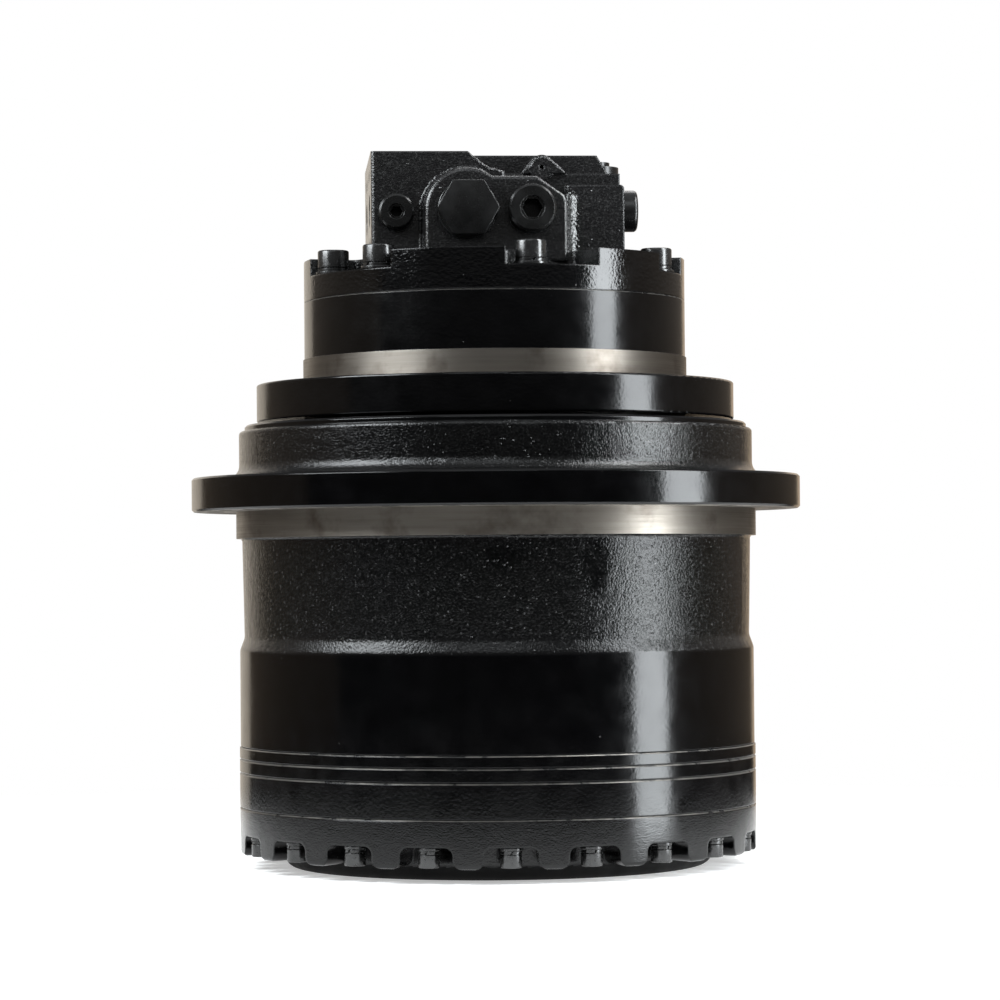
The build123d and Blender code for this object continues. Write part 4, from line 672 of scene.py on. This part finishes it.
def copies(name, shape, moves, material, body):
    """One piece from copies of a shape, each put in its place by a matrix."""
    points, faces = shape
    all_points = []
    all_faces = []
    for move in moves:
        start = len(all_points)
        all_points += [tuple(move @ Vector(point)) for point in points]
        all_faces += [[start + corner for corner in face] for face in faces]
    mesh = bpy.data.meshes.new(name)
    mesh.from_pydata(all_points, [], all_faces)
    mesh.shade_smooth()
    mesh.set_sharp_from_angle(angle=math.radians(SHARP_ANGLE))
    mesh.materials.append(material)
    piece = bpy.data.objects.new(name, mesh)
    bpy.context.scene.collection.objects.link(piece)
    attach(piece, body)
    return piece


def socket_screw(shank_d, shank_l, head_d, head_h, socket):
    """Socket head screw standing on its seat at level 0: rounded head, hexagon socket, plain shank."""
    edge = head_h * HEAD_EDGE
    rim = head_d / 2.0
    mouth = socket * SOCKET_MOUTH
    rings = [ring(-shank_l, shank_d / 2.0), ring(0.0, shank_d / 2.0), ring(0.0, rim - edge / 2.0)]
    rings.append(ring(edge / 2.0, rim))
    rings += [ring(head_h - edge + rise, rim - inset) for rise, inset in rounding(edge)]
    rings.append(ring(head_h, mouth))
    rings.append(ring(head_h - mouth * SOCKET_CHAMFER, head_d, socket))
    rings.append(ring(head_h * SOCKET_DEPTH, head_d, socket))
    return skinned(rings)


def flat_washer(outer_d, hole_d, thick):
    """Flat washer on level 0 with broken edges."""
    edge = thick * BROKEN_EDGE
    rim = outer_d / 2.0
    profile = [
        (hole_d / 2.0, 0.0), (rim - edge, 0.0), (rim, edge), (rim, thick - edge), (rim - edge, thick),
        (hole_d / 2.0, thick), (hole_d / 2.0, 0.0),
    ]
    rings = [ring(level, reach) for reach, level in profile]
    points, faces = skinned(rings)
    return points, faces[1:-1]


def lock_washer(outer_d, hole_d, thick):
    """Spring washer on level 0: a rectangular coil of one turn with a slanted gap."""
    gap = math.radians(LOCK_GAP)
    tilt = math.radians(LOCK_TILT)
    rise = thick * LOCK_RISE
    inner = hole_d / 2.0
    outer = outer_d / 2.0
    corners = ((inner, 0.0), (outer, 0.0), (outer, 1.0), (inner, 1.0))
    sides = len(corners)
    points = []
    for step in range(LOCK_STEPS + 1):
        share = step / LOCK_STEPS
        for reach, level in corners:
            turn = gap / 2.0 + share * (2.0 * math.pi - gap) + tilt * (level - 0.5)
            height = rise * share + level * (thick - rise)
            points.append((reach * math.cos(turn), reach * math.sin(turn), height))
    faces = [list(reversed(range(sides)))]
    for step in range(LOCK_STEPS):
        for side in range(sides):
            near = sides * step + side
            beside = sides * step + (side + 1) % sides
            faces.append([near, beside, beside + sides, near + sides])
    faces.append([sides * LOCK_STEPS + side for side in range(sides)])
    return points, faces


def places(angles, reach, level, flip=False):
    """Matrices that carry a shape to each angle of a circle, upside down where flip is set."""
    upside = Matrix.Rotation(math.pi, 4, "X") if flip else Matrix.Identity(4)
    moves = []
    for angle in angles:
        turn = math.radians(angle)
        spot = Vector((reach * math.cos(turn), reach * math.sin(turn), level))
        moves.append(Matrix.Translation(spot) @ Matrix.Rotation(turn, 4, "Z") @ upside)
    return moves


def cover_screws():
    """Socket screws with flat and lock washers in the notches of the end cover, heads down."""
    angles = [COVER_SCREW_CLOCK + 360.0 / COVER_SCREWS * step for step in range(COVER_SCREWS)]
    reach = COVER_SCREW_CIRCLE_R
    head_seat = COVER_SEAT - 2.0 * COVER_WASHER_T
    hole = COVER_SCREW_D + WASHER_PLAY
    shape = socket_screw(COVER_SCREW_D, COVER_SCREW_END - head_seat, COVER_HEAD_D, COVER_HEAD_H, COVER_SOCKET)
    flat = flat_washer(COVER_FLAT_D, hole, COVER_WASHER_T)
    lock = lock_washer(COVER_LOCK_D, hole, COVER_WASHER_T)
    head_places = places(angles, reach, head_seat, flip=True)
    flat_places = places(angles, reach, COVER_SEAT - COVER_WASHER_T)
    lock_places = places(angles, reach, head_seat)
    screws = copies("cover_screws", shape, head_places, FASTENER, "hub")
    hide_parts("cover_bolts")
    flats = copies("cover_flat_washers", flat, flat_places, FASTENER, "hub")
    copies("cover_lock_washers", lock, lock_places, FASTENER, "hub")
    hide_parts("cover_washers")


def valve_screws():
    """Socket screws with flat and lock washers in the pockets of the valve cover's rim."""
    angles = [FRONT + angle + turn for turn in (0.0, 180.0) for angle in VALVE_SCREW_ANGLES]
    reach = VALVE_SCREW_CIRCLE_R
    head_seat = VALVE_SEAT + 2.0 * VALVE_WASHER_T
    hole = VALVE_SCREW_D + WASHER_PLAY
    shape = socket_screw(VALVE_SCREW_D, head_seat - VALVE_SCREW_END, VALVE_HEAD_D, VALVE_HEAD_H, VALVE_SOCKET)
    flat = flat_washer(VALVE_FLAT_D, hole, VALVE_WASHER_T)
    lock = lock_washer(VALVE_LOCK_D, hole, VALVE_WASHER_T)
    head_places = places(angles, reach, head_seat)
    flat_places = places(angles, reach, VALVE_SEAT)
    lock_places = places(angles, reach, VALVE_SEAT + VALVE_WASHER_T)
    screws = copies("valve_screws", shape, head_places, FASTENER, "spindle")
    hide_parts("valve_cover_bolts")
    flats = copies("valve_flat_washers", flat, flat_places, FASTENER, "spindle")
    copies("valve_lock_washers", lock, lock_places, FASTENER, "spindle")
    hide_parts("valve_cover_washers")


def hexagon_plugs():
    """Hexagon plugs of the spool bore, with rounded edges, at the front and at the rear."""
    seat = PLUG_SEAT_D / 2.0
    collar = PLUG_COLLAR_D / 2.0
    edge = PLUG_COLLAR_T * BROKEN_EDGE
    top = PLUG_COLLAR_T + PLUG_HEX_H
    trim = PLUG_FLATS / 2.0 / math.cos(HEXAGON_TURN / 2.0) * PLUG_TRIM
    rings = [ring(-PLUG_SEAT_L, seat), ring(0.0, seat), ring(0.0, collar - edge), ring(edge, collar)]
    rings += [ring(PLUG_COLLAR_T - edge, collar), ring(PLUG_COLLAR_T, collar - edge)]
    rings.append(ring(PLUG_COLLAR_T, trim, PLUG_FLATS))
    for rise, inset in rounding(edge):
        rings.append(ring(top - edge + rise, trim - inset, PLUG_FLATS - 2.0 * inset))
    front = Matrix.Translation((PLUG_X, PLUG_FACE_Y, PLUG_Z)) @ Matrix.Rotation(math.pi / 2.0, 4, "X")
    rear = Matrix.Translation((PLUG_X, -PLUG_FACE_Y, PLUG_Z)) @ Matrix.Rotation(-math.pi / 2.0, 4, "X")
    plugs = copies("hexagon_plugs", skinned(rings), (front, rear), PLUG, "spindle")
    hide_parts("spool_end_plugs")


def resampled(corners, step):
    """Points at even steps along a line through corners."""
    points = []
    for start, end in zip(corners, corners[1:]):
        parts = max(1, round((end - start).length / step))
        points += [start.lerp(end, part / parts) for part in range(parts)]
    return points + [corners[-1]]


def arc(middle_x, middle_z, reach, turns, y):
    """Points of an arc in a plane that faces the front, from the first of two angles to the last."""
    first, last = turns
    points = []
    for step in range(ARC_STEPS + 1):
        turn = math.radians(first + (last - first) * step / ARC_STEPS)
        points.append(Vector((middle_x + reach * math.cos(turn), y, middle_z + reach * math.sin(turn))))
    return points


def ramp_line():
    """The edge where the tower's front runs down its cast ramp to the ledge."""
    y = TOWER_FACE_Y + RIDGE_R / 2.0
    bend_z = BLOCK_TOP - (RAMP_BEND_X - RAMP_TOP_X) / (RAMP_LOW_X - RAMP_TOP_X) * (BLOCK_TOP - LEDGE_Z)
    start = Vector((RAMP_BEND_X, y, bend_z))
    corner = Vector((RAMP_LOW_X, y, LEDGE_Z))
    end = Vector((RAMP_END_X, y, LEDGE_Z))
    line = [Vector((RAMP_TOP_X + RIDGE_R, y, BLOCK_TOP - 2.0 * RIDGE_R))]
    for step in range(BEND_STEPS + 1):
        share = step / BEND_STEPS
        line.append(start.lerp(corner, share).lerp(corner.lerp(end, share), share))
    return line


def ear_line():
    """The outline of the ear's front face: up the left flank, round the top and down the right flank."""
    y = EAR_FACE_Y + RIDGE_R / 2.0
    top = arc(EAR_X, LEDGE_Z + EAR_R / 2.0, EAR_R - RIDGE_R, EAR_TURN, y)
    left = Vector((EAR_X + EAR_FEET[0] + RIDGE_R, y, LEDGE_Z + RIDGE_R))
    right = Vector((EAR_X + EAR_FEET[1] - RIDGE_R, y, LEDGE_Z + RIDGE_R))
    return [left] + top + [right]


def boss_line():
    """The foot of the front boss on the tower's face: up its left side and over the spool plug."""
    foot = Vector((PLUG_X - BOSS_FOOT_R, TOWER_FACE_Y, VALVE_FLANGE_TOP))
    return [foot] + arc(PLUG_X, PLUG_Z, BOSS_FOOT_R, BOSS_FOOT_TURN, TOWER_FACE_Y)


def ridge_points(path, chance):
    """Rings of points along a path, each a little off its place and size, thinning out at both ends."""
    last = len(path) - 1
    points = []
    for index, spot in enumerate(path):
        ahead = path[min(index + 1, last)] - path[max(index - 1, 0)]
        side = ahead.cross(Vector((0.0, 1.0, 0.0))).normalized()
        middle = spot + side * chance.uniform(-RIDGE_WANDER, RIDGE_WANDER)
        fade = min(1.0, (min(index, last - index) + 1) / RIDGE_RUN_OUT)
        for corner in range(RIDGE_POINTS):
            turn = 2.0 * math.pi * corner / RIDGE_POINTS
            reach = fade * (RIDGE_R + chance.uniform(-RIDGE_WANDER, RIDGE_WANDER))
            inward = Vector((0.0, reach * math.sin(turn), 0.0))
            points.append(tuple(middle + side * reach * math.cos(turn) + inward))
    return points


def ridge_faces(start, end):
    """Faces of a closed tube through the rings of points from one index up to another."""
    faces = []
    for low in range(start, end - RIDGE_POINTS, RIDGE_POINTS):
        for corner in range(RIDGE_POINTS):
            near = low + corner
            beside = low + (corner + 1) % RIDGE_POINTS
            faces.append([near, near + RIDGE_POINTS, beside + RIDGE_POINTS, beside])
    faces.append([start + corner for corner in range(RIDGE_POINTS)])
    faces.append([end - 1 - corner for corner in range(RIDGE_POINTS)])
    return faces


def cast_ridges():
    """Rough raised lines along the block's cast edges, uneven like the sand mould they came from."""
    chance = random.Random(RIDGE_SEED)
    points = []
    faces = []
    for line in (ramp_line(), ear_line(), boss_line()):
        start = len(points)
        points += ridge_points(resampled(line, RIDGE_STEP), chance)
        faces += ridge_faces(start, len(points))
    still = (Matrix.Identity(4),)
    ridges = copies("cast_ridges", (points, faces), still, COVE, "spindle")
    ridges.data.shade_smooth()


def softbox(name, place, size, radiance, tint=WHITE, aim=LIGHT_AIM):
    """A rectangular studio light that faces a height on the axis; the camera doesn't see it."""
    width, height = size
    light = bpy.data.lights.new(name, "AREA")
    light.shape = "RECTANGLE"
    light.size = width
    light.size_y = height
    light.energy = radiance * math.pi * width * height
    light.color = tint
    lamp = bpy.data.objects.new(name, light)
    lamp.location = place
    lamp.rotation_euler = (Vector((0.0, 0.0, aim)) - place).to_track_quat("-Z", "Y").to_euler()
    lamp.visible_camera = False
    bpy.context.scene.collection.objects.link(lamp)


def lights():
    """A tall strip at the right, soft boxes at both sides, dimmer ones above, in front, beside and behind."""
    strip = around(58.0, 0.70, STRIP_AIM)
    wall_left = Vector((-0.8, WALL_Y, WALL_Z))
    wall_right = Vector((0.62, WALL_Y, WALL_Z))
    softbox("strip_right", strip, (0.19, 1.3), radiance=17.0, tint=COOL, aim=STRIP_AIM)
    softbox("box_left", around(-66.0, 1.10, 0.97), (0.75, 0.6), radiance=16.0, tint=COOL)
    softbox("box_right", around(78.0, 1.0, 1.5), (0.5, 0.5), radiance=12.0)
    softbox("overhead", Vector((0.0, 0.1, 2.2)), (1.6, 1.6), radiance=0.35, tint=COOL)
    softbox("front_high", around(-8.0, 1.7, 1.9), (1.4, 0.7), radiance=2.4, tint=COOL)
    softbox("wall_left", wall_left, (1.6, 1.8), radiance=0.80, tint=PALE, aim=WALL_AIM)
    softbox("wall_right", wall_right, (1.24, 1.8), radiance=0.70, tint=WARM, aim=WALL_AIM)
    softbox("side_left", around(-115.0, 1.6, 0.5), (2.8, 1.0), radiance=0.14, tint=WARM)
    softbox("side_right", around(115.0, 1.6, 0.5), (2.8, 1.0), radiance=0.14, tint=WARM)
    softbox("back_high", around(168.0, 1.6, 2.1), (1.2, 0.6), radiance=4.0)


def surroundings():
    """White behind the object for the eye; in reflections a room that is dim at the horizon."""
    world = bpy.data.worlds.new("studio")
    world.use_nodes = True
    bpy.context.scene.world = world
    tree = world.node_tree
    tree.nodes.clear()
    direction = add(tree, "ShaderNodeTexCoord").outputs["Generated"]
    height = add(tree, "ShaderNodeSeparateXYZ", {"Vector": direction}).outputs["Z"]
    glow = remap(tree, height, *ROOM_RISE, ROOM_LOW, ROOM_HIGH)
    seen = add(tree, "ShaderNodeBackground", {"Color": WHITE + (1.0,), "Strength": 1.0})
    room = add(tree, "ShaderNodeBackground", {"Color": WHITE + (1.0,), "Strength": glow})
    direct = add(tree, "ShaderNodeLightPath").outputs["Is Camera Ray"]
    mixed = add(tree, "ShaderNodeMixShader", {0: direct, 1: room.outputs[0], 2: seen.outputs[0]})
    add(tree, "ShaderNodeOutputWorld", {"Surface": mixed.outputs[0]})


def floor():
    """A pale disc under the part; it fades to nothing towards its rim."""
    mesh = bpy.data.meshes.new("floor")
    level = cad_box[0].z
    rim = [around(360.0 * step / FLOOR_POINTS, FLOOR_RADIUS, level) for step in range(FLOOR_POINTS)]
    mesh.from_pydata([tuple(point) for point in rim], [], [list(range(FLOOR_POINTS))])
    made, tree, shader, place = new_material("pale_floor")
    feed(tree, shader, {
        "Base Color": blend(tree, noise(tree, place, waves=2.0), FLOOR_COLOUR, FLOOR_CLOUD),
        "Roughness": FLOOR_ROUGHNESS,
        "Specular IOR Level": 0.0,
        "Emission Color": WHITE + (1.0,),
        "Emission Strength": FLOOR_GLOW,
        "Alpha": remap(tree, length(tree, place), *FLOOR_FADE, 1.0, 0.0),
    })
    mesh.materials.append(made)
    piece = bpy.data.objects.new("floor", mesh)
    bpy.context.scene.collection.objects.link(piece)


def camera():
    """The photograph's camera: a long lens near the floor, a touch below the flange."""
    data = bpy.data.cameras.new("camera")
    data.lens = CAMERA_LENS
    data.sensor_width = CAMERA_SENSOR
    piece = bpy.data.objects.new("camera", data)
    piece.location = around(CAMERA_AZIMUTH, CAMERA_DISTANCE, CAMERA_HEIGHT)
    look = Euler((math.radians(90.0 + CAMERA_PITCH), 0.0, math.radians(CAMERA_AZIMUTH - CAMERA_TURN)))
    roll = Matrix.Rotation(math.radians(CAMERA_ROLL), 3, "Z")
    piece.rotation_euler = (look.to_matrix() @ roll).to_euler()
    bpy.context.scene.collection.objects.link(piece)
    bpy.context.scene.camera = piece


dress_by_slot()
dress_hub()
dress_spindle()
dress_small_pieces()
cover_screws()
valve_screws()
hexagon_plugs()
cast_ridges()
lights()
surroundings()
floor()
camera()
bpy.context.scene.view_settings.view_transform = "Standard"
